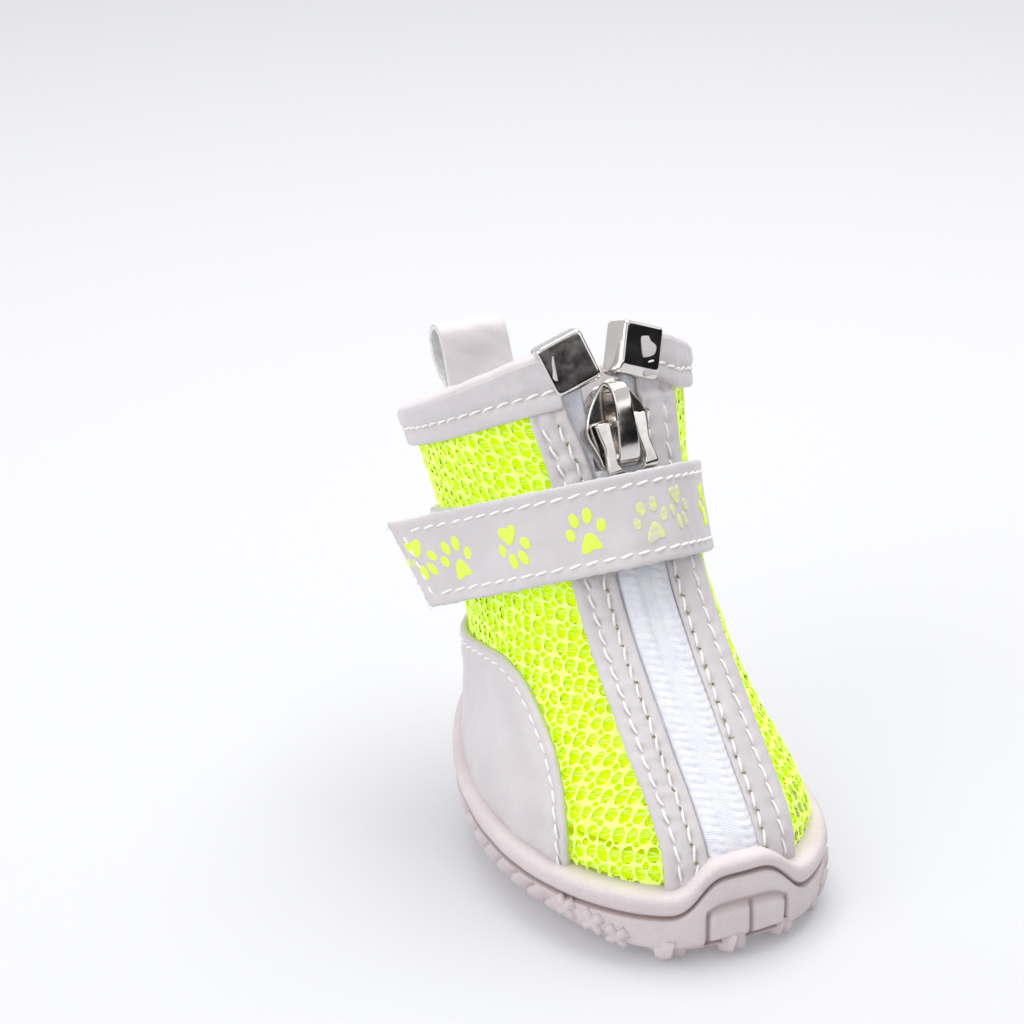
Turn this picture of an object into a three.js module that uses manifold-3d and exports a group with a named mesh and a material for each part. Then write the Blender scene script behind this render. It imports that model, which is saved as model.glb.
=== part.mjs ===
// Dog boot: a hollow zip-fronted fabric upper cemented into a rubber cup sole.
// Millimetres, +Z up, toe towards -Y, wearer's left and right are mirror images.
import * as THREE from 'three';
import { mergeVertices } from 'three/addons/utils/BufferGeometryUtils.js';
import Module from 'manifold-3d';

const wasm = await Module();
wasm.setup();

// ---------------------------------------------------------------- driving dimensions
const GAP = 0.3;            // play left between neighbouring pieces
const WALL = 2.0;           // padded mesh of the upper
const OVERLAY = 1.0;        // synthetic leather sewn on the upper
const AROUND = 40;          // facets round the upper and the sole
const CUP_FLOOR = 5.0;      // height of the sole's floor inside the cup
const SEAT = CUP_FLOOR + GAP;   // height of the upper's lower edge
const STATION_STEP = 0.5;   // between the rings of a form, in sections
const PAST = 0.08;          // how far a cutting form runs past the one it cuts, in sections

// The upper's outer face, one row a section from the sole to the collar. front and
// back are the section's foremost and hindmost points, half is half its width, power
// its squareness (2 is an ellipse) and sag how far its sides hang below its ends.
const SECTIONS = [
  { name: 'seat', frontY: -34.4, frontZ: SEAT, backY: 26.4, backZ: SEAT, half: 20.6, power: 2.15, sag: 0 },
  { name: 'cup', frontY: -35.4, frontZ: 10.0, backY: 28.0, backZ: 10.0, half: 21.6, power: 2.15, sag: 0 },
  { name: 'feather', frontY: -33.4, frontZ: 17.2, backY: 28.8, backZ: 16.6, half: 21.6, power: 2.15, sag: 0 },
  { name: 'vamp', frontY: -23.6, frontZ: 27.7, backY: 30.6, backZ: 25.1, half: 18.8, power: 2.2, sag: 0 },
  { name: 'ankle', frontY: -11, frontZ: 41.2, backY: 34, backZ: 34.8, half: 17.4, power: 2.2, sag: 0 },
  { name: 'waist', frontY: -4.5, frontZ: 51.5, backY: 37.6, backZ: 41.3, half: 17.7, power: 2.2, sag: 0 },
  { name: 'shin', frontY: 0.6, frontZ: 61.8, backY: 41.6, backZ: 48.8, half: 18.9, power: 2.2, sag: 0 },
  { name: 'collar', frontY: 6.9, frontZ: 80.3, backY: 47, backZ: 63.5, half: 21.6, power: 2.15, sag: 3.2 },
];
// Stations, which count up the sections from 0 at the seat to 7 at the collar.
const TOP = { binding: 7.0, channel: 6.925, upper: 6.905 };   // upper ends near the collar
const BINDING_LOW = 6.54;                // lower edge of the binding
const SEAM = 0.02;                       // the least step between two pieces' ends
const FLOOR_STATION = -0.06;             // the cup's floor, one gap under the seat
const CUP_RIM = 3.4;                     // above the sole's rim all round
const ABOVE_ALL = 7.3;                   // above the collar

// The sole's outline is an egg: toe and heel are its ends, widest its widest station.
const SOLE = {
  half: 25, toe: -39.5, heel: 31.5, widest: -4, power: 2.25, heelNarrowing: 0.06,
  tread: 1.3, flatFrom: -21, flatTo: 17, toeSpring: 3.0, heelLift: 1.4, toeLean: 1.6, leanFrom: 8,
  sideTop: 10.4, toeTop: 16.7, toeWidth: 0.33, toeFall: 0.7, heelTop: 21.0, heelFrom: 1.3,
};
// The wall of the sole in section: up is the share of the way from the tread to the
// groove under the bead, below the distance under the top edge.
const SOLE_WALL = [
  { name: 'tread edge', inset: 6.5, up: 0.0 },
  { name: 'round',      inset: 3.0, up: 0.14 },
  { name: 'bulge',      inset: 1.0, up: 0.42 },
  { name: 'wall',       inset: 0.2, up: 0.85 },
  { name: 'groove',     inset: 0.7, below: 4.2 },
  { name: 'bead',       inset: 0.0, below: 2.4 },
  { name: 'bead top',   inset: 0.6, below: 0.7 },
  { name: 'rim',        inset: 1.5, below: 0.0 },
  { name: 'mouth',      inset: 9.0, below: 0.0 },
];
const TREAD_INSETS = [11, 16, 21];       // rings of the flat underside
// Cross-shaped lugs, a row across the sole at each y; x is mirrored left and right.
const LUG = { arm: 4.0, width: 1.1, small: 2.7, height: 2.2, corner: 1.2 };
const LUG_ROWS = [
  { y: -34.0, x: [0], span: LUG.small },
  { y: -30.8, x: [0, 9.2], span: LUG.small },
  { y: -27.4, x: [0, 9.2], span: LUG.small },
  { y: -20.8, x: [7.6, 14.6], span: LUG.arm },
  { y: -15.2, x: [0, 8.6, 16.0], span: LUG.arm },
  { y: -8.6, x: [15.6], span: LUG.arm },
  { y: -2.2, x: [7.4, 14.4], span: LUG.arm },
  { y: 4.0, x: [6.4, 12.8], span: LUG.arm },
  { y: 13.4, x: [4.0, 12.0], span: LUG.arm },
  { y: 20.0, x: [3.8, 10.0], span: LUG.arm },
];
const GROOVE = { width: 1.2, depth: 0.8, y: [-24.4, 9.0] };   // two grooves across the sole

// The heel counter's edge from the side: y and z from the sole up and over to the back.
const COUNTER_EDGE = [
  [-21.3, 4], [-20.6, 15.5], [-17.4, 20.5], [-12.2, 25.6], [-7.2, 29.5], [-2.2, 32.7],
  [3.5, 33.9], [10, 33.0], [22, 30.5], [42, 28],
];
const COUNTER = { from: 0.7, to: 4.4, behind: 60 };   // stations, and a y behind the boot

// Front closure, as distances from the boot's middle line.
const SLIT = 6.5;                        // half the opening in the upper
const PLACKET = { from: 3.9, to: 11.0, underBinding: 8.3, low: 1.1, narrowsAt: 6.2 };
const TAPE = { from: 0.3, to: 6.2, spread: 1.9, opensBelow: 0.1, outer: -0.9, inner: -1.5 };
const CHAIN = { half: 3.1, outer: 1.1, inner: -0.6, top: 5.97 };
const CUTTER_REACH = 3;                  // how far the zip's cutters stand off the upper
const ZIP_LOW = 1.7;                     // station of the slit's lower end
const INSOLE_TOP = 0.43;                 // station of the sock liner's upper face

const SLIDER = {
  station: 6.36, length: 13, crown: 2.4, waist: 9.4, mouth: 7.6, shoulder: 0.8,
  plateLow: 1.25, plate: 0.7, backLow: -3.2, back: 0.7, postWidth: 2.8, postLength: 3, postY: 3,
  bridgeWidth: 2.3, bridgeHalf: 5.8, bridgeRise: 3.2, bridgeBar: 1.0, bridgeSink: 0.2,
};
const PULL = {
  pivotY: 1.0, pivotZ: 2.9, pin: 0.5, pinFacets: 10, armFrom: 1.9, armTo: 3.9, armAbove: 0.8,
  thick: 0.9, armLength: 11, overlap: 1, length: 17.5, rise: 0.045,
};
// Metal cap on each side's upper end, turned by splay so that the two make a V.
const CAP = {
  width: 7.2, height: 7.4, low: -2.5, high: 1.7, bevel: 0.5, station: 6.86, angle: 14, splay: 17,
};

// The strap lies between two slanted planes: height = level - slope * y, with the
// gentler slope behind the turn.
const STRAP = {
  low: 45.6, high: 60.6, slope: 0.48, backSlope: 0.2, turnY: 14, thick: 1.6,
  start: -28, end: -422, step: 9, tail: 15, tailCut: 4, tailLift: 0.12, tailSteps: 4,
  between: [2.5, 7],
};
// How far the strap's inner face stands off the upper, by the angle wound so far.
const STRAP_LIFT = [
  { at: -28, off: 1.65 }, { at: -290, off: 1.65 }, { at: -338, off: 4.4 },
  { at: -380, off: 4.4 }, { at: -440, off: 4.0 },
];
const LOOP = {
  width: 11.5, thick: 0.9, depth: 5.4, above: 8.6, below: 6.0, base: 2.1, waist: 0.4, crown: 0.7,
};

const COLOURS = {
  rubber: [0xb9aca9, 0.75, 0], mesh: [0xc8f01e, 0.85, 0], leather: [0xcbc6c6, 0.6, 0],
  tape: [0xe6e8f2, 0.8, 0], metal: [0x6d6a68, 0.25, 1], lining: [0xb5b2b0, 0.9, 0],
};

// ---------------------------------------------------------------- small helpers
const signedPower = (value, power) => Math.sign(value) * Math.abs(value) ** power;
const clamp01 = (value) => Math.min(1, Math.max(0, value));
const radians = THREE.MathUtils.degToRad;

// A value of a table's column at a fractional row, on a smooth curve through the rows.
function columnAt(rows, key, station) {
  const slope = (i) => {
    const before = Math.max(i - 1, 0);
    const after = Math.min(i + 1, rows.length - 1);
    return (rows[after][key] - rows[before][key]) / (after - before);
  };
  const i = Math.min(rows.length - 2, Math.max(0, Math.floor(station)));
  const t = station - i;
  const [a, b] = [rows[i][key], rows[i + 1][key]];
  return a * (2 * t ** 3 - 3 * t ** 2 + 1) + slope(i) * (t ** 3 - 2 * t ** 2 + t)
    + b * (3 * t ** 2 - 2 * t ** 3) + slope(i + 1) * (t ** 3 - t ** 2);
}

// Straight interpolation in a table of { at, value } whose "at" falls or rises.
function stepAt(rows, key, at) {
  for (let i = 1; i < rows.length; i += 1) {
    const share = (at - rows[i - 1].at) / (rows[i].at - rows[i - 1].at);
    if (share <= 1) return THREE.MathUtils.lerp(rows[i - 1][key], rows[i][key], clamp01(share));
  }
  return rows[rows.length - 1][key];
}

function solidOf(geometry) {
  geometry.deleteAttribute('normal');
  geometry.deleteAttribute('uv');
  const merged = mergeVertices(geometry, 1e-4);
  return new wasm.Manifold(new wasm.Mesh({
    numProp: 3,
    vertProperties: merged.attributes.position.array,
    triVerts: new Uint32Array(merged.index.array),
  }));
}

function geometryOf(solid) {
  const mesh = solid.getMesh();
  const geometry = new THREE.BufferGeometry();
  geometry.setAttribute('position', new THREE.BufferAttribute(new Float32Array(mesh.vertProperties), 3));
  geometry.setIndex(new THREE.BufferAttribute(new Uint32Array(mesh.triVerts), 1));
  geometry.computeVertexNormals();
  return geometry;
}

// A closed body through rings of equally many points, each closed by a fan.
function loft(rings) {
  const count = rings[0].length;
  const points = rings.flat();
  const index = [];
  for (let r = 0; r + 1 < rings.length; r += 1) {
    for (let i = 0; i < count; i += 1) {
      const [a, b] = [r * count + i, r * count + (i + 1) % count];
      index.push(a, b, b + count, a, b + count, a + count);
    }
  }
  for (const [ring, flip] of [[0, true], [rings.length - 1, false]]) {
    const centre = new THREE.Vector3();
    rings[ring].forEach((p) => centre.addScaledVector(p, 1 / count));
    points.push(centre);
    for (let i = 0; i < count; i += 1) {
      const [a, b] = [ring * count + i, ring * count + (i + 1) % count];
      index.push(...(flip ? [b, a, points.length - 1] : [a, b, points.length - 1]));
    }
  }
  const geometry = new THREE.BufferGeometry().setFromPoints(points);
  geometry.setIndex(index);
  return geometry;
}

// An outline drawn in x and y, raised along z by depth from the given height.
function plate(shape, depth, height = 0, options = {}) {
  const settings = { depth, bevelEnabled: false, curveSegments: 6, ...options };
  const geometry = new THREE.ExtrudeGeometry(shape, settings);
  return geometry.translate(0, 0, height);
}

// The same, drawn in y and z and running along x between two places.
function beam(shape, from, to) {
  const geometry = plate(shape, to - from);
  const axes = new THREE.Matrix4().makeBasis(
    new THREE.Vector3(0, 1, 0), new THREE.Vector3(0, 0, 1), new THREE.Vector3(1, 0, 0));
  return geometry.applyMatrix4(axes).translate(from, 0, 0);
}

const block = (x, y, z, centre) => solidOf(new THREE.BoxGeometry(x, y, z).translate(...centre));
const mirrored = (side, a, b) => (side < 0 ? [-b, -a] : [a, b]);

// ---------------------------------------------------------------- the upper's form
// A point of the upper: station up the sections, angle from the front (towards +X
// positive, radians) and off outwards from the outer face.
function skin(station, angle, off = 0) {
  const at = (key) => columnAt(SECTIONS, key, station);
  const halfY = (at('backY') - at('frontY')) / 2;
  const halfZ = (at('backZ') - at('frontZ')) / 2;
  const grown = 1 + off / Math.hypot(halfY, halfZ);
  const power = 2 / at('power');
  const along = signedPower(Math.cos(angle), power) * grown;
  return new THREE.Vector3(
    (at('half') + off) * signedPower(Math.sin(angle), power),
    (at('frontY') + at('backY')) / 2 - halfY * along,
    (at('frontZ') + at('backZ')) / 2 - halfZ * along - at('sag') * Math.sin(angle) ** 2,
  );
}

// The body inside the upper's outer face moved outwards by off.
function form(off, from, to) {
  const steps = Math.max(1, Math.round((to - from) / STATION_STEP));
  const rings = [];
  for (let s = 0; s <= steps; s += 1) {
    const station = from + (to - from) * s / steps;
    rings.push(Array.from({ length: AROUND }, (_, i) => skin(station, 2 * Math.PI * i / AROUND, off)));
  }
  return solidOf(loft(rings));
}

// The space between two such forms.
function shell(inner, outer, from, to) {
  return form(outer, from, to).subtract(form(inner, from - PAST, to + PAST));
}

// The boot's front half between two distances from its middle line.
function frontSlab(from, to) {
  const collar = SECTIONS.at(-1);
  const [ahead, above] = [2 * SOLE.toe, collar.frontZ + SOLE.half];
  const outline = new THREE.Shape();
  outline.moveTo(ahead, 0);
  SECTIONS.forEach((row) => outline.lineTo((row.frontY + row.backY) / 2, (row.frontZ + row.backZ) / 2));
  outline.lineTo((collar.frontY + collar.backY) / 2, above);
  outline.lineTo(ahead, above);
  return solidOf(beam(outline, from, to));
}

// Axes on the upper's face: x across, y up the boot, z outwards.
function faceAxes(station, angle) {
  const step = 0.01;
  const origin = skin(station, angle);
  const up = skin(station + step, angle).sub(skin(station - step, angle)).normalize();
  const across = skin(station, angle + step).sub(skin(station, angle - step)).normalize();
  const out = new THREE.Vector3().crossVectors(across, up).normalize();
  across.crossVectors(up, out);
  return new THREE.Matrix4().makeBasis(across, up, out).setPosition(origin);
}

// ---------------------------------------------------------------- sole
function soleOutline(angle, inset) {
  const power = 2 / SOLE.power;
  const forward = Math.cos(angle) > 0;
  const reach = (forward ? SOLE.widest - SOLE.toe : SOLE.heel - SOLE.widest) - inset;
  const y = SOLE.widest - reach * signedPower(Math.cos(angle), power);
  const narrowing = 1 - SOLE.heelNarrowing * clamp01((y - SOLE.widest) / (SOLE.heel - SOLE.widest));
  return [(SOLE.half - inset) * narrowing * signedPower(Math.sin(angle), power), y];
}

const turnFromToe = (angle) => Math.acos(Math.cos(angle));
const toePeak = (angle) => Math.exp(-SOLE.toeFall * (turnFromToe(angle) / SOLE.toeWidth) ** 4);

// Height of the cup's rim: low at the sides, a small peak at the toe, high at the heel.
function rimHeight(angle) {
  const turn = turnFromToe(angle);
  const toe = toePeak(angle);
  const heel = (1 - Math.cos(Math.PI * clamp01((turn - SOLE.heelFrom) / (Math.PI - SOLE.heelFrom)))) / 2;
  return SOLE.sideTop + (SOLE.toeTop - SOLE.sideTop) * toe + (SOLE.heelTop - SOLE.sideTop) * heel;
}

// How far the underside rises off the ground towards the toe and the heel.
function spring(y) {
  const toe = clamp01((SOLE.flatFrom - y) / (SOLE.flatFrom - SOLE.toe));
  const heel = clamp01((y - SOLE.flatTo) / (SOLE.heel - SOLE.flatTo));
  return SOLE.toeSpring * toe ** 2 + SOLE.heelLift * heel ** 2;
}

// The sole before its cup is hollowed, or the same grown all round by a clearance.
function soleBlank(grow = 0) {
  const beadHeight = SOLE_WALL.find((row) => row.name === 'groove').below;
  const rings = [...TREAD_INSETS].reverse().map((inset) => ({ inset, up: 0 })).concat(SOLE_WALL);
  return solidOf(loft(rings.map(({ inset, up, below }) => Array.from({ length: AROUND }, (_, i) => {
    const angle = 2 * Math.PI * i / AROUND;
    const bottom = SOLE.tread + spring(soleOutline(angle, inset)[1]);
    const rim = rimHeight(angle);
    const z = below === undefined ? bottom + (rim - beadHeight - bottom) * up : rim + grow - below;
    const leant = clamp01((z - SOLE.leanFrom) / (SOLE.toeTop - SOLE.leanFrom));
    const lean = SOLE.toeLean * toePeak(angle) * leant;
    return new THREE.Vector3(...soleOutline(angle, inset - grow + lean), z);
  }))));
}

function lug(x, y, span) {
  const bar = block(span * LUG.corner, LUG.width, LUG.height, [0, 0, LUG.height / 2]);
  return bar.rotate([0, 0, 45]).add(bar.rotate([0, 0, -45])).translate([x, y, spring(y)]);
}

function makeOutsole() {
  let sole = soleBlank().subtract(form(GAP, FLOOR_STATION, CUP_RIM));
  GROOVE.y.forEach((y) => {
    sole = sole.subtract(block(3 * SOLE.half, GROOVE.width, 2 * GROOVE.depth, [0, y, SOLE.tread]));
  });
  LUG_ROWS.forEach(({ y, x, span }) => x.forEach((place) => {
    const sides = place === 0 ? [0] : [-place, place];
    sides.forEach((side) => { sole = sole.add(lug(side, y, span)); });
  }));
  return sole;
}

// ---------------------------------------------------------------- upper and its overlays
function capBlock(side, grow = 0) {
  const shape = new THREE.Shape();
  const [w, h] = [CAP.width / 2 + grow, CAP.height / 2 + grow];
  shape.moveTo(-w, -h).lineTo(w, -h).lineTo(w, h).lineTo(-w, h);
  const bevel = grow > 0 ? {} : {
    bevelEnabled: true,
    bevelThickness: CAP.bevel,
    bevelSize: CAP.bevel,
    bevelOffset: -CAP.bevel,
    bevelSegments: 1,
  };
  const inset = grow > 0 ? -grow : CAP.bevel;
  const geometry = plate(shape, CAP.high - CAP.low - 2 * inset, CAP.low + inset, bevel);
  geometry.rotateZ(radians(-side * CAP.splay));
  return solidOf(geometry.applyMatrix4(faceAxes(CAP.station, radians(side * CAP.angle))));
}
const capClearance = capBlock(-1, GAP).add(capBlock(1, GAP));

function makeUpper() {
  return shell(-WALL, 0, 0, TOP.upper)
    .subtract(frontSlab(-SLIT, SLIT).intersect(form(CUTTER_REACH, ZIP_LOW, ABOVE_ALL)))
    .subtract(capClearance);
}

const makeInsole = () => form(-WALL - GAP, 0, INSOLE_TOP);

function makeCounter() {
  const edge = new THREE.Shape();
  edge.moveTo(...COUNTER_EDGE[0]);
  edge.splineThru(COUNTER_EDGE.slice(1).map(([y, z]) => new THREE.Vector2(y, z)));
  edge.lineTo(COUNTER.behind, COUNTER_EDGE.at(-1)[1]);
  edge.lineTo(COUNTER.behind, COUNTER_EDGE[0][1]);
  const side = solidOf(beam(edge, -2 * SOLE.half, 2 * SOLE.half));
  return shell(GAP, GAP + OVERLAY, COUNTER.from, COUNTER.to).intersect(side).subtract(soleBlank(GAP));
}

function makePlacket(side) {
  const long = frontSlab(...mirrored(side, PLACKET.from, PLACKET.to));
  const short = frontSlab(...mirrored(side, PLACKET.from, PLACKET.underBinding));
  return shell(GAP, GAP + OVERLAY, PLACKET.low, BINDING_LOW - SEAM).intersect(long)
    .add(shell(GAP, GAP + OVERLAY, PLACKET.narrowsAt, TOP.upper).intersect(short))
    .subtract(soleBlank(GAP))
    .subtract(capClearance);
}

function makeTape(side) {
  const strip = frontSlab(...mirrored(side, TAPE.from, TAPE.to));
  const opening = frontSlab(-TAPE.spread, TAPE.spread)
    .intersect(form(CUTTER_REACH, SLIDER.station - TAPE.opensBelow, ABOVE_ALL));
  return shell(TAPE.inner, TAPE.outer, ZIP_LOW + SEAM, TOP.upper - SEAM).intersect(strip)
    .subtract(opening)
    .subtract(capClearance);
}

function makeChain() {
  return shell(CHAIN.inner, CHAIN.outer, ZIP_LOW + SEAM, CHAIN.top)
    .intersect(frontSlab(-CHAIN.half, CHAIN.half))
    .subtract(soleBlank(GAP));
}

function makeBinding() {
  const reach = OVERLAY + GAP;
  return shell(-WALL - reach, reach, BINDING_LOW, TOP.binding)
    .subtract(shell(-WALL - GAP, GAP, BINDING_LOW - PAST, TOP.channel))
    .subtract(frontSlab(-PLACKET.underBinding - GAP, PLACKET.underBinding + GAP))
    .subtract(capClearance);
}

// ---------------------------------------------------------------- zip hardware
function shield() {
  const [half, waist, mouth] = [SLIDER.length / 2, SLIDER.waist / 2, SLIDER.mouth / 2];
  const outline = new THREE.Shape();
  outline.moveTo(-mouth, -half).lineTo(mouth, -half);
  outline.quadraticCurveTo(waist, -half / 2, waist, 0);
  outline.quadraticCurveTo(waist, half * SLIDER.shoulder, SLIDER.crown / 2, half);
  outline.lineTo(-SLIDER.crown / 2, half);
  outline.quadraticCurveTo(-waist, half * SLIDER.shoulder, -waist, 0);
  outline.quadraticCurveTo(-waist, -half / 2, -mouth, -half);
  return outline;
}

function makeSlider() {
  const front = solidOf(plate(shield(), SLIDER.plate, SLIDER.plateLow));
  const back = solidOf(plate(shield(), SLIDER.back, SLIDER.backLow));
  const top = SLIDER.plateLow + SLIDER.plate;
  const post = block(SLIDER.postWidth, SLIDER.postLength, top - SLIDER.backLow,
    [0, SLIDER.postY, (top + SLIDER.backLow) / 2]);
  const foot = top - SLIDER.bridgeSink;
  const [length, rise, bar] = [SLIDER.bridgeHalf, SLIDER.bridgeRise, SLIDER.bridgeBar];
  const arch = new THREE.Shape();
  arch.absellipse(0, foot, length, rise, 0, Math.PI, false, 0);
  arch.absellipse(0, foot, length - bar, rise - bar, Math.PI, 0, true, 0);
  const bridge = solidOf(beam(arch, -SLIDER.bridgeWidth / 2, SLIDER.bridgeWidth / 2));
  return front.add(back).add(post).add(bridge);
}

// The pull tab hangs from a pin under the bridge: two arms that meet in a flat tongue.
function makePull() {
  const [armWidth, armLength] = [PULL.armTo - PULL.armFrom, PULL.armLength + PULL.armAbove];
  const pin = new THREE.CylinderGeometry(PULL.pin, PULL.pin, 2 * PULL.armTo, PULL.pinFacets);
  let tab = solidOf(pin.rotateZ(Math.PI / 2));
  for (const side of [-1, 1]) {
    const x = side * (PULL.armFrom + armWidth / 2);
    tab = tab.add(block(armWidth, armLength, PULL.thick, [x, PULL.armAbove - armLength / 2, 0]));
  }
  const tongue = PULL.length - PULL.armLength + PULL.overlap;
  tab = tab.add(block(2 * PULL.armTo, tongue, PULL.thick, [0, -PULL.length + tongue / 2, 0]));
  return tab.rotate([-THREE.MathUtils.radToDeg(Math.atan(PULL.rise)), 0, 0]);
}

// ---------------------------------------------------------------- strap and loop
// The point of the upper, moved outwards, that lies on the strap's plane.
function onStrapPlane(angle, off, level) {
  let [low, high] = STRAP.between;
  const excess = (p) => p.z + STRAP.slope * Math.min(p.y, STRAP.turnY)
    + STRAP.backSlope * Math.max(0, p.y - STRAP.turnY) - level;
  while (high - low > 1e-9) {
    const middle = (low + high) / 2;
    if (excess(skin(middle, angle, off)) > 0) high = middle;
    else low = middle;
  }
  return skin(low, angle, off);
}

function makeStrap() {
  const corners = [
    { level: STRAP.low, lift: 0, tail: STRAP.tail - STRAP.tailCut },
    { level: STRAP.low, lift: STRAP.thick, tail: STRAP.tail - STRAP.tailCut },
    { level: STRAP.high, lift: STRAP.thick, tail: STRAP.tail },
    { level: STRAP.high, lift: 0, tail: STRAP.tail },
  ];
  const turns = Math.round((STRAP.start - STRAP.end) / STRAP.step);
  const at = (corner, wound) => onStrapPlane(
    radians(wound), stepAt(STRAP_LIFT, 'off', wound) + corner.lift, corner.level);
  const rings = [];
  for (let i = 0; i <= turns; i += 1) {
    const wound = STRAP.start + (STRAP.end - STRAP.start) * i / turns;
    rings.push(corners.map((corner) => at(corner, wound)));
  }
  const last = rings[rings.length - 1];
  const ahead = corners.map((corner, k) => last[k].clone().sub(at(corner, STRAP.end + 1)).normalize());
  const outward = last[1].clone().sub(last[0]).normalize();
  for (let i = 1; i <= STRAP.tailSteps; i += 1) {
    const share = i / STRAP.tailSteps;
    rings.push(corners.map(({ tail }, k) => last[k].clone().addScaledVector(ahead[k], tail * share)
      .addScaledVector(outward, STRAP.tailLift * tail * share ** 2)));
  }
  return solidOf(loft(rings));
}

// A folded strip sewn down the back of the collar, drawn with y outwards and z up.
function makeLoop() {
  const [t, top, deep] = [LOOP.thick, LOOP.above, LOOP.depth];
  const [waist, crown, foot] = [top * LOOP.waist, top * LOOP.crown, t / 2];
  const outline = new THREE.Shape();
  outline.moveTo(0, -LOOP.below).lineTo(LOOP.base, -LOOP.below).lineTo(LOOP.base, 0);
  outline.quadraticCurveTo(deep, waist, deep, crown);
  outline.quadraticCurveTo(deep, top, deep / 2, top);
  outline.quadraticCurveTo(0, top, 0, crown);
  const hole = new THREE.Path();
  hole.moveTo(t, foot).quadraticCurveTo(t, waist, t, crown);
  hole.quadraticCurveTo(t, top - t, deep / 2, top - t);
  hole.quadraticCurveTo(deep - t, top - t, deep - t, crown);
  hole.quadraticCurveTo(deep - t, waist, LOOP.base - t / 2, foot);
  outline.holes.push(hole);
  return solidOf(beam(outline, -LOOP.width / 2, LOOP.width / 2));
}

// ---------------------------------------------------------------- assembly
const boot = new THREE.Group();

function addMesh(name, geometry, look, matrix = null) {
  const [color, roughness, metalness] = COLOURS[look];
  const mesh = new THREE.Mesh(geometry, new THREE.MeshStandardMaterial({ color, roughness, metalness }));
  mesh.name = name;
  if (matrix) mesh.applyMatrix4(matrix);
  boot.add(mesh);
  return mesh;
}

addMesh('outsole', geometryOf(makeOutsole()), 'rubber');
addMesh('upper', geometryOf(makeUpper()), 'mesh');
addMesh('insole', geometryOf(makeInsole()), 'lining');
addMesh('heel_counter', geometryOf(makeCounter()), 'leather');
addMesh('collar_binding', geometryOf(makeBinding()), 'leather');
addMesh('zip_chain', geometryOf(makeChain()), 'tape');
for (const [side, name] of [[-1, 'left'], [1, 'right']]) {
  addMesh(`placket_${name}`, geometryOf(makePlacket(side)), 'leather');
  addMesh(`zip_tape_${name}`, geometryOf(makeTape(side)), 'tape');
  addMesh(`end_cap_${name}`, geometryOf(capBlock(side)), 'metal');
}

const sliderAxes = faceAxes(SLIDER.station, 0);
addMesh('zip_slider', geometryOf(makeSlider()), 'metal', sliderAxes);
const pivot = new THREE.Matrix4().makeTranslation(0, PULL.pivotY, PULL.pivotZ).premultiply(sliderAxes);
addMesh('pull_tab', geometryOf(makePull()), 'metal', pivot);

addMesh('strap', geometryOf(makeStrap()), 'leather');
const loopBase = skin(TOP.binding, Math.PI, OVERLAY + 2 * GAP);
const lean = skin(TOP.binding, Math.PI).sub(skin(BINDING_LOW, Math.PI));
const loopAxes = new THREE.Matrix4().makeRotationX(-Math.atan2(lean.y, lean.z)).setPosition(loopBase);
addMesh('pull_loop', geometryOf(makeLoop()), 'leather', loopAxes);

// The origin is under the middle of the boot's box, on the ground.
boot.updateMatrixWorld(true);
const box = new THREE.Box3().setFromObject(boot);
boot.position.set(-(box.min.x + box.max.x) / 2, -(box.min.y + box.max.y) / 2, -box.min.z);

export default boot;
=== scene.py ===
import math

import bpy
import numpy as np
from mathutils import Matrix, Vector


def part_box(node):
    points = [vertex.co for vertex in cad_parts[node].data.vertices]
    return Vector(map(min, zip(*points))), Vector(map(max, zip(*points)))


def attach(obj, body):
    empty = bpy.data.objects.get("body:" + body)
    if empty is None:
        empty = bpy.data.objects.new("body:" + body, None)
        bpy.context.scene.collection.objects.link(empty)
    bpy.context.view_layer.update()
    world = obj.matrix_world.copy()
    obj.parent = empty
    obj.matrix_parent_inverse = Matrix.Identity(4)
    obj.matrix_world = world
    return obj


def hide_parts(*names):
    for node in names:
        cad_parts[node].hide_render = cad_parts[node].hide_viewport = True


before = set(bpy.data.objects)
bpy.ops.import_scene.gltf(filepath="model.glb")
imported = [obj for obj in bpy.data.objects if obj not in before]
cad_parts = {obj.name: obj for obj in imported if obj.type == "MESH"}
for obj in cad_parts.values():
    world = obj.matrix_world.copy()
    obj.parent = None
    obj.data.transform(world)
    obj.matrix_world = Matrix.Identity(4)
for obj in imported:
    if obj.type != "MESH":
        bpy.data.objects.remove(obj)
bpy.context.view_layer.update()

MM = 0.001

# ---------------------------------------------------------------- driving dimensions
# The upper's outer face, a row a section from the seat to the collar. Columns: foremost y and
# z, hindmost y and z, half the width, squareness, and how far the sides sag.
SECTIONS = np.array([
    (-34.4, 5.3, 26.4, 5.3, 20.6, 2.15, 0),
    (-35.4, 10.0, 28.0, 10.0, 21.6, 2.15, 0),
    (-33.4, 17.2, 28.8, 16.6, 21.6, 2.15, 0),
    (-23.6, 27.7, 30.6, 25.1, 18.8, 2.2, 0),
    (-11.0, 41.2, 34.0, 34.8, 17.4, 2.2, 0),
    (-4.5, 51.5, 37.6, 41.3, 17.7, 2.2, 0),
    (0.6, 61.8, 41.6, 48.8, 18.9, 2.2, 0),
    (6.9, 80.3, 47.0, 63.5, 21.6, 2.15, 3.2),
])
BINDING = {"low": 6.54, "top": 7.0, "proud": 1.35, "inside": 3.3, "drop": 0.19, "row": 2.7, "pitch": 2.4}
# By side, 1 being right and -1 left: the outer edge and the two rows of sewing, in x.
PLACKET = {
    "inner": 3.9, "outer": {1: 11.0, -1: 9.75}, "rows": {1: (4.85, 8.3), -1: (5.55, 7.75)},
    "low": 1.1, "top": 6.905, "pitch": 2.8,
}
SIDES = ((1, "right"), (-1, "left"))
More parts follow.
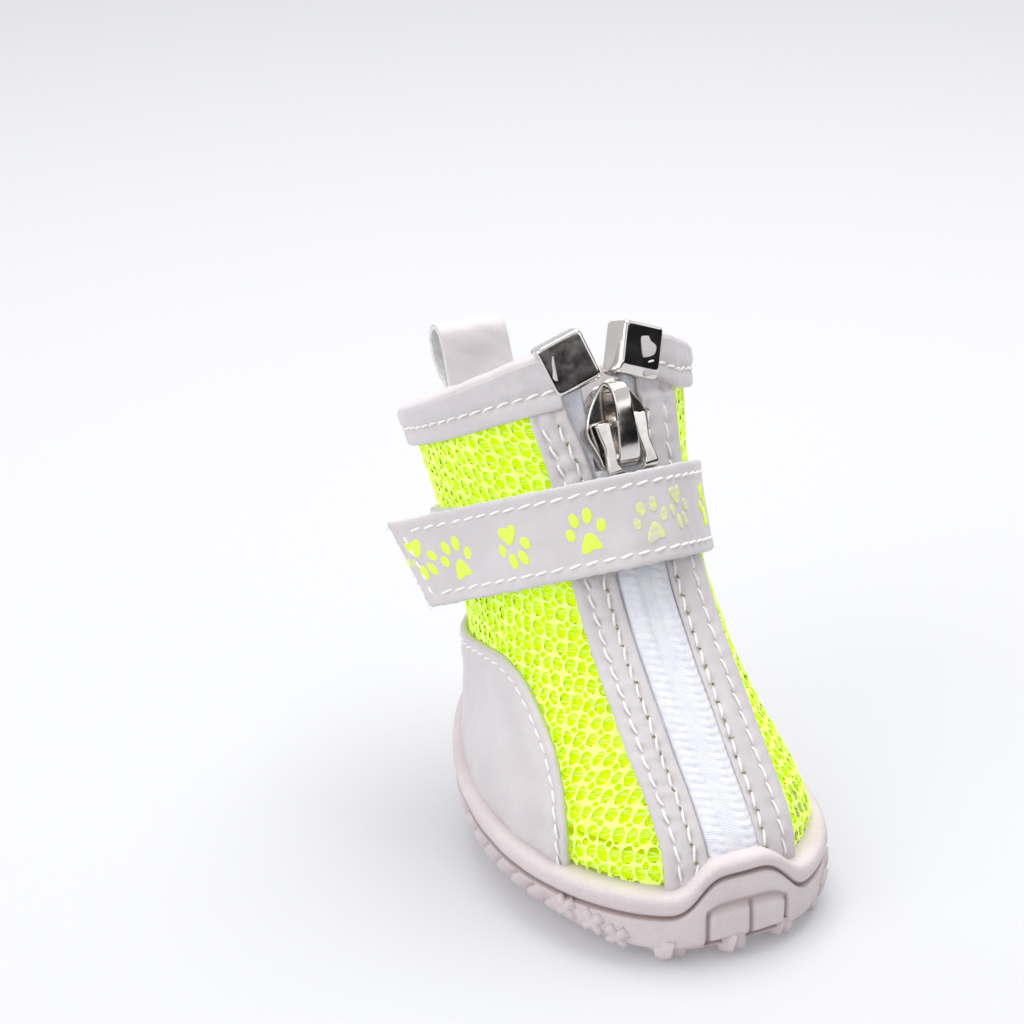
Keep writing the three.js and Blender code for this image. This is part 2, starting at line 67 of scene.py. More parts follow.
# The heel counter's upper edge, front to back, as y and z.
COUNTER_EDGE = np.array([
    (-21.3, 4), (-20.6, 15.5), (-17.4, 20.5), (-12.2, 25.6), (-7.2, 29.5), (-2.2, 32.7),
    (3.5, 33.9), (10, 33.0), (22, 30.5), (42, 28),
])
COUNTER_BACK = {1: 13.0, -1: 0.0}        # how far back each side's front edge is drawn
SOLE = {
    "half": 25, "toe": -39.5, "heel": 31.5, "widest": -4, "power": 2.25, "narrowing": 0.06,
    "tread": 1.3, "flat_from": -21, "flat_to": 17, "toe_spring": 0.6, "heel_lift": 1.4,
    "toe_lean": 1.6, "lean_from": 8, "side_top": 10.9, "toe_top": 15.5, "toe_width": 0.27,
    "toe_fall": 0.7, "heel_top": 21.0, "heel_from": 1.3, "bead": 3.6,
    "bead_thinning": 0.9,
}
STRAP = {
    "low": 45.6, "high": 60.6, "slope": 0.48, "back_slope": 0.40, "turn_y": 14,
    "start": -28, "end": -422, "tail": 17.4, "tail_cut": 3.4, "tail_lift": 0.10, "row": 0.13,
    "pitch": 2.6,
}
ZIP = {"low": 1.72, "top": 5.99, "half": 4.0, "pitch": 1.3}
SLIDER_STATION = 6.36
CAP = {"station": 6.86, "angle": 14, "splay": 17, "width": 7.2, "height": 7.4}
PULL = {
    "y": 1.0, "z": 2.9, "rise": 0.075, "swing": math.radians(5.5), "hang": 1.1,
    "length": 15.0, "window": 7.6, "corner": 1.9, "above": 0.85, "half_thick": 0.45, "pin": 0.42,
}
THREAD = 0.21                 # half the sewing thread's thickness

rng = np.random.default_rng(7)
sole_low, sole_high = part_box("outsole")
SHIFT = np.array([(sole_low.x + sole_high.x) / 2 / MM, sole_high.y / MM - SOLE["heel"], 0.0])


# ---------------------------------------------------------------- shape functions
def signed_power(value, power):
    """A power that keeps the sign."""
    return np.sign(value) * np.abs(value) ** power


def smooth(value, low, high):
    """0 below low, 1 above high, and a soft step between them."""
    t = np.clip((np.asarray(value, float) - low) / (high - low), 0, 1)
    return t * t * (3 - 2 * t)


def bell(value, width):
    """1 at 0, falling softly to nothing within about two widths."""
    return np.exp(-(np.asarray(value, float) / width) ** 2)


def unit(vectors):
    return vectors / np.maximum(np.linalg.norm(vectors, axis=-1, keepdims=True), 1e-9)


def turned(points, angle):
    """Points turned about z, or in their own plane."""
    c, s = math.cos(angle), math.sin(angle)
    x, y = points[..., 0], points[..., 1]
    return np.concatenate([np.stack([x * c - y * s, x * s + y * c], -1), points[..., 2:]], -1)


def turning(axis, angle, origin=(0, 0, 0)):
    """A turn about x or z and then a move, as a 4 by 4 matrix."""
    i, j = {"x": (1, 2), "z": (0, 1)}[axis]
    matrix = np.eye(4)
    matrix[i, i] = matrix[j, j] = math.cos(angle)
    matrix[j, i] = math.sin(angle)
    matrix[i, j] = -math.sin(angle)
    matrix[:3, 3] = origin
    return matrix


def placed(axes, points):
    return np.asarray(points, float) @ axes[:3, :3].T + axes[:3, 3]


def ripple(a, b, size, seed, waves=7):
    """Soft seeded waves over two distances in mm, about -1 to 1, with crests size apart."""
    local = np.random.default_rng(seed)
    total = np.zeros(np.broadcast(a, b).shape)
    for _ in range(waves):
        turn, phase = local.uniform(0, 2 * np.pi, 2)
        k = 2 * np.pi / (size * local.uniform(0.7, 1.5))
        total += np.sin(k * (a * np.cos(turn) + b * np.sin(turn)) + phase)
    return total / math.sqrt(waves / 2) / 2


SECTION_SLOPES = np.gradient(SECTIONS, axis=0)


def section_at(station):
    """The sections' columns at fractional stations, on smooth curves through the rows."""
    station = np.asarray(station, float)
    i = np.clip(np.floor(station).astype(int), 0, len(SECTIONS) - 2)
    t = (station - i)[..., None]
    a, b = SECTIONS[i], SECTIONS[i + 1]
    return (a * (2 * t**3 - 3 * t**2 + 1) + SECTION_SLOPES[i] * (t**3 - 2 * t**2 + t)
            + b * (3 * t**2 - 2 * t**3) + SECTION_SLOPES[i + 1] * (t**3 - t**2))


def skin(station, angle, off=0.0):
    """Points of the upper: station up the sections, angle from the front, off outwards."""
    station, angle, off = np.broadcast_arrays(
        np.asarray(station, float), np.asarray(angle, float), np.asarray(off, float))
    front_y, front_z, back_y, back_z, half, power, sag = np.moveaxis(section_at(station), -1, 0)
    half_y, half_z = (back_y - front_y) / 2, (back_z - front_z) / 2
    along = signed_power(np.cos(angle), 2 / power) * (1 + off / np.hypot(half_y, half_z))
    return np.stack([
        (half + off) * signed_power(np.sin(angle), 2 / power),
        (front_y + back_y) / 2 - half_y * along,
        (front_z + back_z) / 2 - half_z * along - sag * np.sin(angle) ** 2,
    ], axis=-1)


def front_angle(x, station):
    """The angle at which the front of the upper is x from the middle plane."""
    columns = section_at(station)
    half, power = columns[..., 4], columns[..., 5]
    return np.sign(x) * np.arcsin(np.clip(np.abs(x) / half, 0, 1) ** (power / 2))


def outward(station, angle):
    """The direction straight out of the upper."""
    return unit(skin(station, angle, 0.5) - skin(station, angle, -0.5))


def lengths(points):
    """Distance run along a line of points, starting at 0."""
    steps = np.linalg.norm(np.diff(points, axis=0), axis=-1)
    return np.concatenate([[0], np.cumsum(steps)])


# How far each placket has spread sideways from the zip, by station, left and right.
SPREAD = {
    -1: np.array([(5.8, 0.3), (6.0, 0.6), (6.1, 0.9), (6.22, 1.4), (6.33, 2.0), (6.44, 2.6), (6.6, 3.0),
                  (6.9, 3.2)]),
    1: np.array([(5.8, 0.0), (6.2, 0.1), (6.4, 0.5), (6.6, 1.0), (6.9, 1.4)]),
}


def spread(station, side):
    return np.interp(station, *SPREAD[side].T)


def face_axes(station, angle):
    """A place on the upper's face: x across, y up the boot, z outwards, in mm."""
    step = 0.01
    origin = skin(station, angle)
    up = unit(skin(station + step, angle) - skin(station - step, angle))
    across = unit(skin(station, angle + step) - skin(station, angle - step))
    out = unit(np.cross(across, up))
    axes = np.eye(4)
    axes[:3, 0], axes[:3, 1], axes[:3, 2], axes[:3, 3] = np.cross(up, out), up, out, origin
    return axes


# ---------------------------------------------------------------- meshes
def grid_faces(rows, columns, wrap=False):
    """Quads of a grid of points, closed round its columns if it wraps."""
    r = np.arange(rows - 1)[:, None] * columns
    c = np.arange(columns if wrap else columns - 1)[None, :]
    n = (c + 1) % columns
    quads = np.stack([r + c, r + n, r + n + columns, r + c + columns], axis=-1)
    return quads.reshape(-1, 4)


def add_piece(name, points, faces, look, slot, body="boot", replaces=(), values=None):
    """A mesh object from points in mm and lists of equally sided faces, riding on a body."""
    points = np.asarray(points, float).reshape(-1, 3)
    corners = np.concatenate([f.ravel() for f in faces])
    sizes = np.concatenate([np.full(len(f), f.shape[1]) for f in faces])
    mesh = bpy.data.meshes.new(name)
    mesh.vertices.add(len(points))
    mesh.vertices.foreach_set("co", ((points + SHIFT) * MM).astype(np.float32).ravel())
    mesh.loops.add(len(corners))
    mesh.loops.foreach_set("vertex_index", corners.astype(np.int32))
    mesh.polygons.add(len(sizes))
    mesh.polygons.foreach_set("loop_start", np.concatenate([[0], np.cumsum(sizes)[:-1]]).astype(np.int32))
    mesh.polygons.foreach_set("use_smooth", np.full(len(sizes), True))
    mesh.update(calc_edges=True)
    mesh.validate()
    for key, column in (values or {}).items():
        attribute = mesh.attributes.new(key, "FLOAT", "POINT")
        attribute.data.foreach_set("value", np.asarray(column, np.float32).ravel())
    mesh.materials.append(look)
    piece = bpy.data.objects.new(name, mesh)
    bpy.context.scene.collection.objects.link(piece)
    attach(piece, body)
    if replaces:
        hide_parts(*replaces)


def loft(rings):
    """Points and faces of a closed body through closed rings, with a fan at each end."""
    rings = np.asarray(rings, float)
    rows, columns = rings.shape[:2]
    points = np.concatenate([rings.reshape(-1, 3), rings[0].mean(0)[None], rings[-1].mean(0)[None]])
    c = np.arange(columns)
    n = (c + 1) % columns
    low, high = rows * columns, rows * columns + 1
    first = np.stack([n, c, np.full(columns, low)], axis=-1)
    last = np.stack([c + low - columns, n + low - columns, np.full(columns, high)], axis=-1)
    return points, [grid_faces(rows, columns, wrap=True), np.concatenate([first, last])]


def round_edge(distance, radius):
    """How far a rounded edge has dropped at a distance from it."""
    d = np.clip(distance, 0, radius)
    return radius - np.sqrt(np.maximum(radius**2 - (radius - d) ** 2, 0))


def sheet(outside, inside):
    """A closed sheet between two grids; outside's columns run anticlockwise, rows upwards."""
    rows, columns = outside.shape[:2]
    count = rows * columns
    ids = np.arange(count).reshape(rows, columns)
    loop = np.concatenate([ids[0, :-1], ids[:-1, -1], ids[-1, :0:-1], ids[:0:-1, 0]])
    ahead = np.roll(loop, -1)
    sides = np.stack([ahead, loop, loop + count, ahead + count], axis=-1)
    faces = np.concatenate([grid_faces(rows, columns), grid_faces(rows, columns)[:, ::-1] + count, sides])
    return np.concatenate([outside.reshape(-1, 3), inside.reshape(-1, 3)]), [faces]


def tubes(paths, normals, radius, sides=6):
    """Points and faces of many cords at once: paths and normals are (cords, places, 3)."""
    paths, normals = np.asarray(paths, float), np.asarray(normals, float)
    count, places = paths.shape[:2]
    ahead = unit(np.gradient(paths, axis=1))
    side = unit(np.cross(ahead, normals))
    up = np.cross(side, ahead)
    turn = 2 * np.pi * np.arange(sides) / sides
    radius = np.broadcast_to(np.asarray(radius, float), (count, places))[..., None, None]
    rings = paths[:, :, None] + radius * (
        np.cos(turn)[:, None] * side[:, :, None] + np.sin(turn)[:, None] * up[:, :, None])
    base = (np.arange(count) * places * sides)[:, None, None]
    quads = grid_faces(places, sides, wrap=True)[None] + base
    ends = np.stack([np.arange(sides)[::-1], np.arange(sides) + (places - 1) * sides])[None] + base
    return rings.reshape(-1, 3), [quads.reshape(-1, 4), ends.reshape(-1, sides)]


def stitches(path, normals, pitch, share=0.84, slant=0.28, lift=0.12, start=0.5, bow=0.0):
    """Thread lying on a line of holes: each stitch comes up, runs slightly askew, goes down."""
    run = lengths(path)
    count = int((run[-1] - start) / pitch)
    u = np.linspace(0, 1, 9)
    at = start + pitch * (np.arange(count)[:, None] + share * u[None, :])
    at = at + rng.normal(0, 0.04, (count, 1))
    place = np.stack([np.interp(at, run, path[:, k]) for k in range(3)], axis=-1)
    out = unit(np.stack([np.interp(at, run, normals[:, k]) for k in range(3)], axis=-1))
    ahead = unit(np.gradient(place, axis=1))
    side = np.cross(out, ahead)
    askew = slant * (u - 0.5) + bow * np.sin(np.pi * u)
    skew = askew[None, :, None] * (1 + rng.normal(0, 0.2, (count, 1, 1)))
    rise = (-0.35 + (lift + 0.35) * np.sin(np.pi * u) ** 0.45)[None, :, None]
    thick = THREAD * (0.75 + 0.25 * np.sin(np.pi * u))[None, :] * np.ones((count, 1))
    return tubes(place + side * skew + out * rise, out, thick)


def join(parts):
    """Several (points, faces) as one."""
    points, faces, start = [], {}, 0
    for part_points, part_faces in parts:
        points.append(np.asarray(part_points).reshape(-1, 3))
        for f in part_faces:
            faces.setdefault(f.shape[1], []).append(f + start)
        start += len(points[-1])
    return np.concatenate(points), [np.concatenate(f) for f in faces.values()]


def pucker(distance, run, pitch, phase=0.0, depth=0.16):
    """How far sewn leather dips round a row of stitches, most at the needle holes."""
    holes = 0.5 + 0.5 * np.cos(2 * np.pi * (run / pitch - phase))
    return -depth * bell(distance, 0.5) * (0.45 + 0.75 * holes) - 0.4 * depth * bell(distance, 1.1) * holes


# ---------------------------------------------------------------- materials
class Nodes:
    """Shorthand for the nodes of one node tree and the links between them."""

    def __init__(self, tree):
        self.tree = tree

    def node(self, kind, **settings):
        node = self.tree.nodes.new("ShaderNode" + kind)
        for key, value in settings.items():
            setattr(node, key, value)
        return node

    def feed(self, socket, value):
        """Links an output to a socket, or sets it to a number, a vector or a colour."""
        if isinstance(value, bpy.types.NodeSocket):
            self.tree.links.new(value, socket)
        elif socket.type == "RGBA":
            socket.default_value = (*value, 1)
        else:
            socket.default_value = value

    def math(self, operation, *values):
        node = self.node("Math", operation=operation)
        for socket, value in zip(node.inputs, values):
            self.feed(socket, value)
        return node.outputs["Value"]

    def ramp(self, value, low, high, to_low=0.0, to_high=1.0, curve="LINEAR"):
        """Takes low to high over to to_low to to_high, and holds the ends."""
        node = self.node("MapRange", interpolation_type=curve)
        for key, number in (("From Min", low), ("From Max", high), ("To Min", to_low), ("To Max", to_high)):
            node.inputs[key].default_value = number
        self.feed(node.inputs["Value"], value)
        return node.outputs["Result"]


class Look(Nodes):
    """A material and the nodes behind its shader; sizes are in mm."""

    def __init__(self, name, roughness, **sockets):
        self.material = bpy.data.materials.new(name)
        self.material.use_nodes = True
        super().__init__(self.material.node_tree)
        self.shader = self.tree.nodes["Principled BSDF"]
        for key, value in {"Roughness": roughness, **sockets}.items():
            self.shader.inputs[key.replace("_", " ")].default_value = value
        scale = self.node("VectorMath", operation="SCALE")
        scale.inputs["Scale"].default_value = 1 / MM
        self.feed(scale.inputs[0], self.node("TexCoord").outputs["Object"])
        self.place = scale.outputs["Vector"]

    def noise(self, size, detail=3.0, stretch=(1, 1, 1), rough=0.5):
        """Cloudy noise whose features are size across."""
        mapping = self.node("Mapping")
        mapping.inputs["Scale"].default_value = [s / size for s in stretch]
        self.feed(mapping.inputs["Vector"], self.place)
        node = self.node("TexNoise")
        inputs = {"Vector": mapping.outputs["Vector"], "Scale": 1.0, "Detail": detail, "Roughness": rough}
        for key, value in inputs.items():
            self.feed(node.inputs[key], value)
        return node.outputs["Fac"]

    def cells(self, size):
        """Distance from the edges of cells that are size across."""
        node = self.node("TexVoronoi", feature="DISTANCE_TO_EDGE")
        node.inputs["Scale"].default_value = 1 / size
        self.feed(node.inputs["Vector"], self.place)
        return node.outputs["Distance"]

    def column(self, key):
        """A value stored at the piece's points."""
        return self.node("Attribute", attribute_name=key).outputs["Fac"]

    def waves(self, key, pitch):
        """A sine along a distance stored at the piece's points."""
        return self.math("SINE", self.math("MULTIPLY", self.column(key), 2 * math.pi / pitch))

    def blend(self, factor, a, b):
        """Colour a where the factor is 0 and b where it is 1."""
        node = self.node("Mix", data_type="RGBA")
        for socket, value in ((0, factor), (6, a), (7, b)):
            self.feed(node.inputs[socket], value)
        return node.outputs[2]

    def bump(self, height, distance, strength=1.0, under=None):
        """A bump whose height of 1 is distance, over the bump under it."""
        node = self.node("Bump")
        node.inputs["Distance"].default_value = distance * MM
        node.inputs["Strength"].default_value = strength
        self.feed(node.inputs["Height"], height)
        if under is not None:
            self.feed(node.inputs["Normal"], under)
        return node.outputs["Normal"]

    def finish(self, colour, normal=None, roughness=None, glow=None):
        sockets = {"Base Color": colour, "Normal": normal, "Roughness": roughness, "Emission Color": glow}
        for key, value in sockets.items():
            if value is not None:
                self.feed(self.shader.inputs[key], value)
        return self.material


def leather(name, light, dark, roughness=0.42):
    look = Look(name, roughness, Specular_IOR_Level=0.45)
    cloud = look.ramp(look.noise(9.0, 3), 0.35, 0.65)
    speck = look.ramp(look.noise(0.5, 4), 0.3, 0.75, 0.0, 0.35)
    colour = look.blend(speck, look.blend(cloud, dark, light), dark)
    grain = look.ramp(look.cells(0.42), 0.0, 0.12)
    pores = look.bump(grain, 0.02, 0.5)
    creases = look.bump(look.noise(1.6, 4, rough=0.6), 0.12, 0.5, under=pores)
    gloss = look.ramp(look.noise(3.0, 4), 0.3, 0.7, roughness - 0.06, roughness + 0.1)
    return look.finish(colour, creases, gloss)


def rubber():
    look = Look("moulded_rubber", 0.55, Specular_IOR_Level=0.35)
    cloud = look.ramp(look.noise(12.0, 4), 0.35, 0.65)
    colour = look.blend(cloud, (0.67, 0.585, 0.595), (0.735, 0.66, 0.665))
    dust = look.ramp(look.noise(0.7, 5, rough=0.7), 0.45, 0.8, 0.0, 0.5)
    colour = look.blend(dust, colour, (0.79, 0.735, 0.74))
    # Painted shade: the stored depth darkens the grooves, creases, the bead's groove and the cup's inside
    # towards dark brown.
    groove = look.ramp(look.column("depth"), 0.0, 1.0)
    colour = look.blend(groove, colour, (0.33, 0.24, 0.24))
    grain = look.bump(look.ramp(look.cells(0.55), 0.0, 0.25), 0.035, 0.6)
    fine = look.bump(look.noise(0.35, 4, rough=0.65), 0.06, 0.5, under=grain)
    gloss = look.ramp(look.noise(2.5, 3), 0.3, 0.7, 0.48, 0.66)
    return look.finish(colour, fine, gloss)


def net_yarn():
    # The glow is painted light standing in for the yarn's fluorescence.
    look = Look("net_yarn", 0.6, Specular_IOR_Level=0.2, Emission_Strength=0.20)
    depth = look.column("depth")
    fibre = look.noise(0.22, 4, stretch=(1, 1, 0.3), rough=0.7)
    # The ridges' pale yellow, mottled along the fibres, is partly the yarn's own colour and partly painted
    # highlight.
    ridge_with_highlight = look.blend(look.ramp(fibre, 0.35, 0.65), (0.74, 1.0, 0.13), (0.87, 1.0, 0.34))
    # Painted shade: deeper down each cell towards its hole the colour turns a darker lime.
    colour = look.blend(look.ramp(depth, 0.55, 1.1), ridge_with_highlight, (0.72, 0.95, 0.0))
    return look.finish(colour, look.bump(fibre, 0.03, 0.6), glow=colour)


def ground_knit():
    # The glow is painted light that lifts the ground where the net over it casts shade.
    look = Look("ground_knit", 0.7, Specular_IOR_Level=0.2, Emission_Strength=0.40)
    knit = look.math("MULTIPLY_ADD", look.waves("round", 0.5), 0.35, look.waves("rise", 0.42))
    patch = look.ramp(look.noise(2.2, 3), 0.38, 0.62)
    colour = look.blend(patch, (0.66, 0.84, 0.0), (0.76, 0.92, 0.01))
    # Painted shade: the knit's troughs are coloured a darker green.
    colour = look.blend(look.ramp(knit, -1.3, 0.2), (0.48, 0.64, 0.0), colour)
    return look.finish(colour, look.bump(look.ramp(knit, -1.35, 1.35), 0.12, 1.0), glow=colour)


def textile(name, light, dark, size=0.3, roughness=0.6, depth=0.05):
    look = Look(name, roughness, Sheen_Weight=0.25, Specular_IOR_Level=0.35)
    weave = look.math("MULTIPLY_ADD", look.waves("round", 1.4 * size), 0.5, look.waves("rise", size))
    soft = look.ramp(look.noise(1.8, 4), 0.35, 0.65)
    colour = look.blend(soft, dark, light)
    fuzz = look.bump(look.noise(0.15, 3), 0.03, 0.5)
    return look.finish(colour, look.bump(weave, depth, 0.6, under=fuzz))


def thread(name, colour, shade):
    # The faint glow is painted light that whitens the thread.
    look = Look(name, 0.45, Specular_IOR_Level=0.5, Sheen_Weight=0.3, Emission_Strength=0.08)
    ply = look.noise(0.25)
    tone = look.blend(look.ramp(ply, 0.35, 0.65), shade, colour)
    return look.finish(tone, look.bump(ply, 0.06, 0.8), glow=tone)


def nickel():
    look = Look("dark_nickel", 0.13, Metallic=1.0)
    haze = look.ramp(look.noise(2.5, 5, rough=0.6), 0.35, 0.75, 0.09, 0.2)
    tone = look.blend(look.ramp(look.noise(6.0, 3), 0.3, 0.7), (0.68, 0.645, 0.62), (0.78, 0.745, 0.715))
    return look.finish(tone, look.bump(look.noise(1.2, 3), 0.012, 0.35), haze)


def print_ink(name, colour, worn):
    """Screen-printed ink; worn is the share of it that has rubbed off to the leather."""
    # The faint glow is painted light on the ink.
    look = Look(name, 0.5, Emission_Strength=0.08)
    patches = look.ramp(look.noise(0.8, 4, rough=0.7), worn - 0.12, worn + 0.12)
    tone = look.blend(patches, LEATHER_TONES[1], colour)
    return look.finish(tone, look.bump(look.noise(0.5, 3), 0.03, 0.5), glow=tone)


LEATHER_TONES = ((0.72, 0.675, 0.685), (0.655, 0.61, 0.62))
LEATHER_LOOK = leather("pale_leather", *LEATHER_TONES)
RUBBER_LOOK = rubber()
NET_LOOK = net_yarn()
GROUND_LOOK = ground_knit()
WHITE_LOOK = textile("zip_textile", (0.88, 0.88, 0.92), (0.80, 0.80, 0.885), 0.36, 0.5, 0.02)
RAW_EDGE_LOOK = textile("leather_backing", (0.88, 0.88, 0.86), (0.80, 0.79, 0.77), 0.35, 0.8)
LINING_LOOK = textile("lining_knit", (0.50, 0.48, 0.47), (0.42, 0.40, 0.39), 0.6, 0.85)
THREAD_LOOK = thread("white_thread", (0.96, 0.95, 0.94), (0.80, 0.79, 0.78))
LIME_THREAD_LOOK = thread("lime_thread", (0.30, 0.36, 0.10), (0.12, 0.15, 0.04))
METAL_LOOK = nickel()
INK_LOOK = print_ink("print_ink", (0.76, 0.95, 0.10), 0.2)
WORN_INK_LOOK = print_ink("print_ink_worn", (0.76, 0.90, 0.16), 0.52)


# ---------------------------------------------------------------- sole
def sole_outline(angle, inset):
    """The sole's outline drawn in by an inset, at an angle round from the toe."""
    power = 2 / SOLE["power"]
    reach = np.where(np.cos(angle) > 0, SOLE["widest"] - SOLE["toe"], SOLE["heel"] - SOLE["widest"]) - inset
    y = SOLE["widest"] - reach * signed_power(np.cos(angle), power)
    share = np.clip((y - SOLE["widest"]) / (SOLE["heel"] - SOLE["widest"]), 0, 1)
    x = (SOLE["half"] - inset) * (1 - SOLE["narrowing"] * share) * signed_power(np.sin(angle), power)
    return x, y


def sole_angle(points):
    """The sole's angle round from the toe at which places of the upper stand."""
    power = SOLE["power"] / 2
    y = SOLE["widest"] - points[..., 1]
    reach = np.where(y > 0, SOLE["widest"] - SOLE["toe"], SOLE["heel"] - SOLE["widest"])
    return np.arctan2(signed_power(points[..., 0] / SOLE["half"], power), signed_power(y / reach, power))


def turn_from_toe(angle):
    """How far round from the toe an angle is, either way."""
    return np.arccos(np.clip(np.cos(angle), -1, 1))


def toe_peak(angle):
    """1 at the rim's peak over the toe, 0 away from it."""
    return np.exp(-SOLE["toe_fall"] * (turn_from_toe(angle) / SOLE["toe_width"]) ** 4)


def bead_height(angle):
    """How tall the rim's rolled bead is."""
    return SOLE["bead"] - SOLE["bead_thinning"] * toe_peak(angle) ** 2


def rim_height(angle):
    """Height of the rim's top: low at the sides, with a peak at the toe and a rise at the heel."""
    turn = turn_from_toe(angle)
    climb = np.clip((turn - SOLE["heel_from"]) / (np.pi - SOLE["heel_from"]), 0, 1)
    heel = (1 - np.cos(np.pi * climb)) / 2
    return (SOLE["side_top"] + (SOLE["toe_top"] - SOLE["side_top"]) * toe_peak(angle)
            + (SOLE["heel_top"] - SOLE["side_top"]) * heel)


def spring(y):
    """How far the tread has risen off the ground at the toe and the heel."""
    toe = np.clip((SOLE["flat_from"] - y) / (SOLE["flat_from"] - SOLE["toe"]), 0, 1)
    heel = np.clip((y - SOLE["flat_to"]) / (SOLE["heel"] - SOLE["flat_to"]), 0, 1)
    return SOLE["toe_spring"] * toe**2 + SOLE["heel_lift"] * heel**2


# The wall in section: inset from the outline at a share of the way up to the groove.
WALL_ROWS = np.array([
    (6.5, 0.0), (5.4, 0.015), (4.2, 0.06), (3.0, 0.145), (1.9, 0.27), (1.05, 0.42),
    (0.5, 0.62), (0.2, 0.82), (0.12, 0.94),
])
TOE_WALL = {
    "inset": (6.5, 5.0, 3.4, 1.9, 1.0, 0.45, 0.2, 0.1, 0.1),
    "up": (0.0, 0.004, 0.01, 0.03, 0.07, 0.13, 0.24, 0.5, 0.94), "width": 0.85,
}
TOE_BLOCKS = {"edges": (-6.0, 0.6, 6.7), "low": 0.12, "high": 0.66, "line": 0.34, "depth": 0.55}
RIBS = {"from": 1.06, "to": 2.35, "pitch": 4.3, "depth": 0.55, "lean": 0.5}
TREAD_LINES = {"across": (-24.4, 9.0), "mid": (11.0, 17.2), "toe": (5.2, 15.4), "heel": (0.0, 11.5)}
TREAD_DEPTH = 0.8
# The groove under the bead: how far below it, inset, and shade from 0 to 1.
BEAD_GROOVE = ((0.10, 0.22, 0.1), (0.0, 0.45, 0.5), (-0.16, 0.78, 1), (-0.36, 0.80, 1), (-0.52, 0.5, 0.6))


def wall_relief(run, up, angle):
    """How far the wall's moulded lines lie under its face, in mm: blocks, ribs, creases."""
    toe = TOE_BLOCKS
    inside = (run > toe["edges"][0] - 0.3) & (run < toe["edges"][-1] + 0.3)
    across = sum(bell(run - edge, toe["line"]) for edge in toe["edges"])
    across = across * (up > toe["low"] - 0.03) * (up < toe["high"] + 0.02)
    along = inside * sum(bell((up - toe[end]) * 9, toe["line"] * 1.2) for end in ("high", "low"))
    blocks = toe["depth"] * np.clip(across + along, 0, 1)
    turn = turn_from_toe(angle)
    saw = (np.abs(run) / RIBS["pitch"] + RIBS["lean"] * (up - 0.5) ** 2 * 3 + up * 0.9) % 1
    start, end = (smooth(turn, RIBS[key], RIBS[key] + 0.12) for key in ("from", "to"))
    where = start * (1 - end) * smooth(up, 0.04, 0.14) * (1 - smooth(up, 0.92, 0.99))
    ribs = RIBS["depth"] * where * (1 - saw) ** 1.8
    crease = 0.22 * bell((up - 0.13) * 9, 0.3) * (1 - where)
    return blocks, ribs, crease


def wall_row(at, angle):
    """Inset and share of the way up of the wall's row, the toe's wall being steeper."""
    rows = np.arange(len(WALL_ROWS))
    toe = np.exp(-(turn_from_toe(angle) / TOE_WALL["width"]) ** 4)
    inset = (1 - toe) * np.interp(at, rows, WALL_ROWS[:, 0]) + toe * np.interp(at, rows, TOE_WALL["inset"])
    up = (1 - toe) * np.interp(at, rows, WALL_ROWS[:, 1]) + toe * np.interp(at, rows, TOE_WALL["up"])
    return inset, up


def wall_height(inset, up, angle):
    """Height of a place of the wall between the tread and the groove."""
    bottom = SOLE["tread"] + spring(sole_outline(angle, inset)[1])
    return bottom + (rim_height(angle) - bead_height(angle) - bottom) * up


def wall_place(at, angle):
    angle = np.asarray(angle, float)
    inset, up = wall_row(at, angle)
    return np.stack([*sole_outline(angle, inset), wall_height(inset, up, angle)], -1)


def tread_relief(x, y):
    """Depth of the grooves between the tread's panels."""
    wave = 0.6 * np.sin(y / 3.4)
    lines = [bell(y - place - 0.5 * np.sin(x / 3.1), 0.5) for place in TREAD_LINES["across"]]
    middle = (y > TREAD_LINES["across"][0]) & (y < TREAD_LINES["across"][1])
    toe_part = y <= TREAD_LINES["across"][0]
    taper = 1 - 0.012 * (y + 8)
    for key, where in (("mid", middle), ("toe", toe_part), ("heel", ~(middle | toe_part))):
        lines += [bell(np.abs(x) - place * taper + wave, 0.42) * where for place in TREAD_LINES[key]]
    return np.clip(sum(lines), 0, 1)


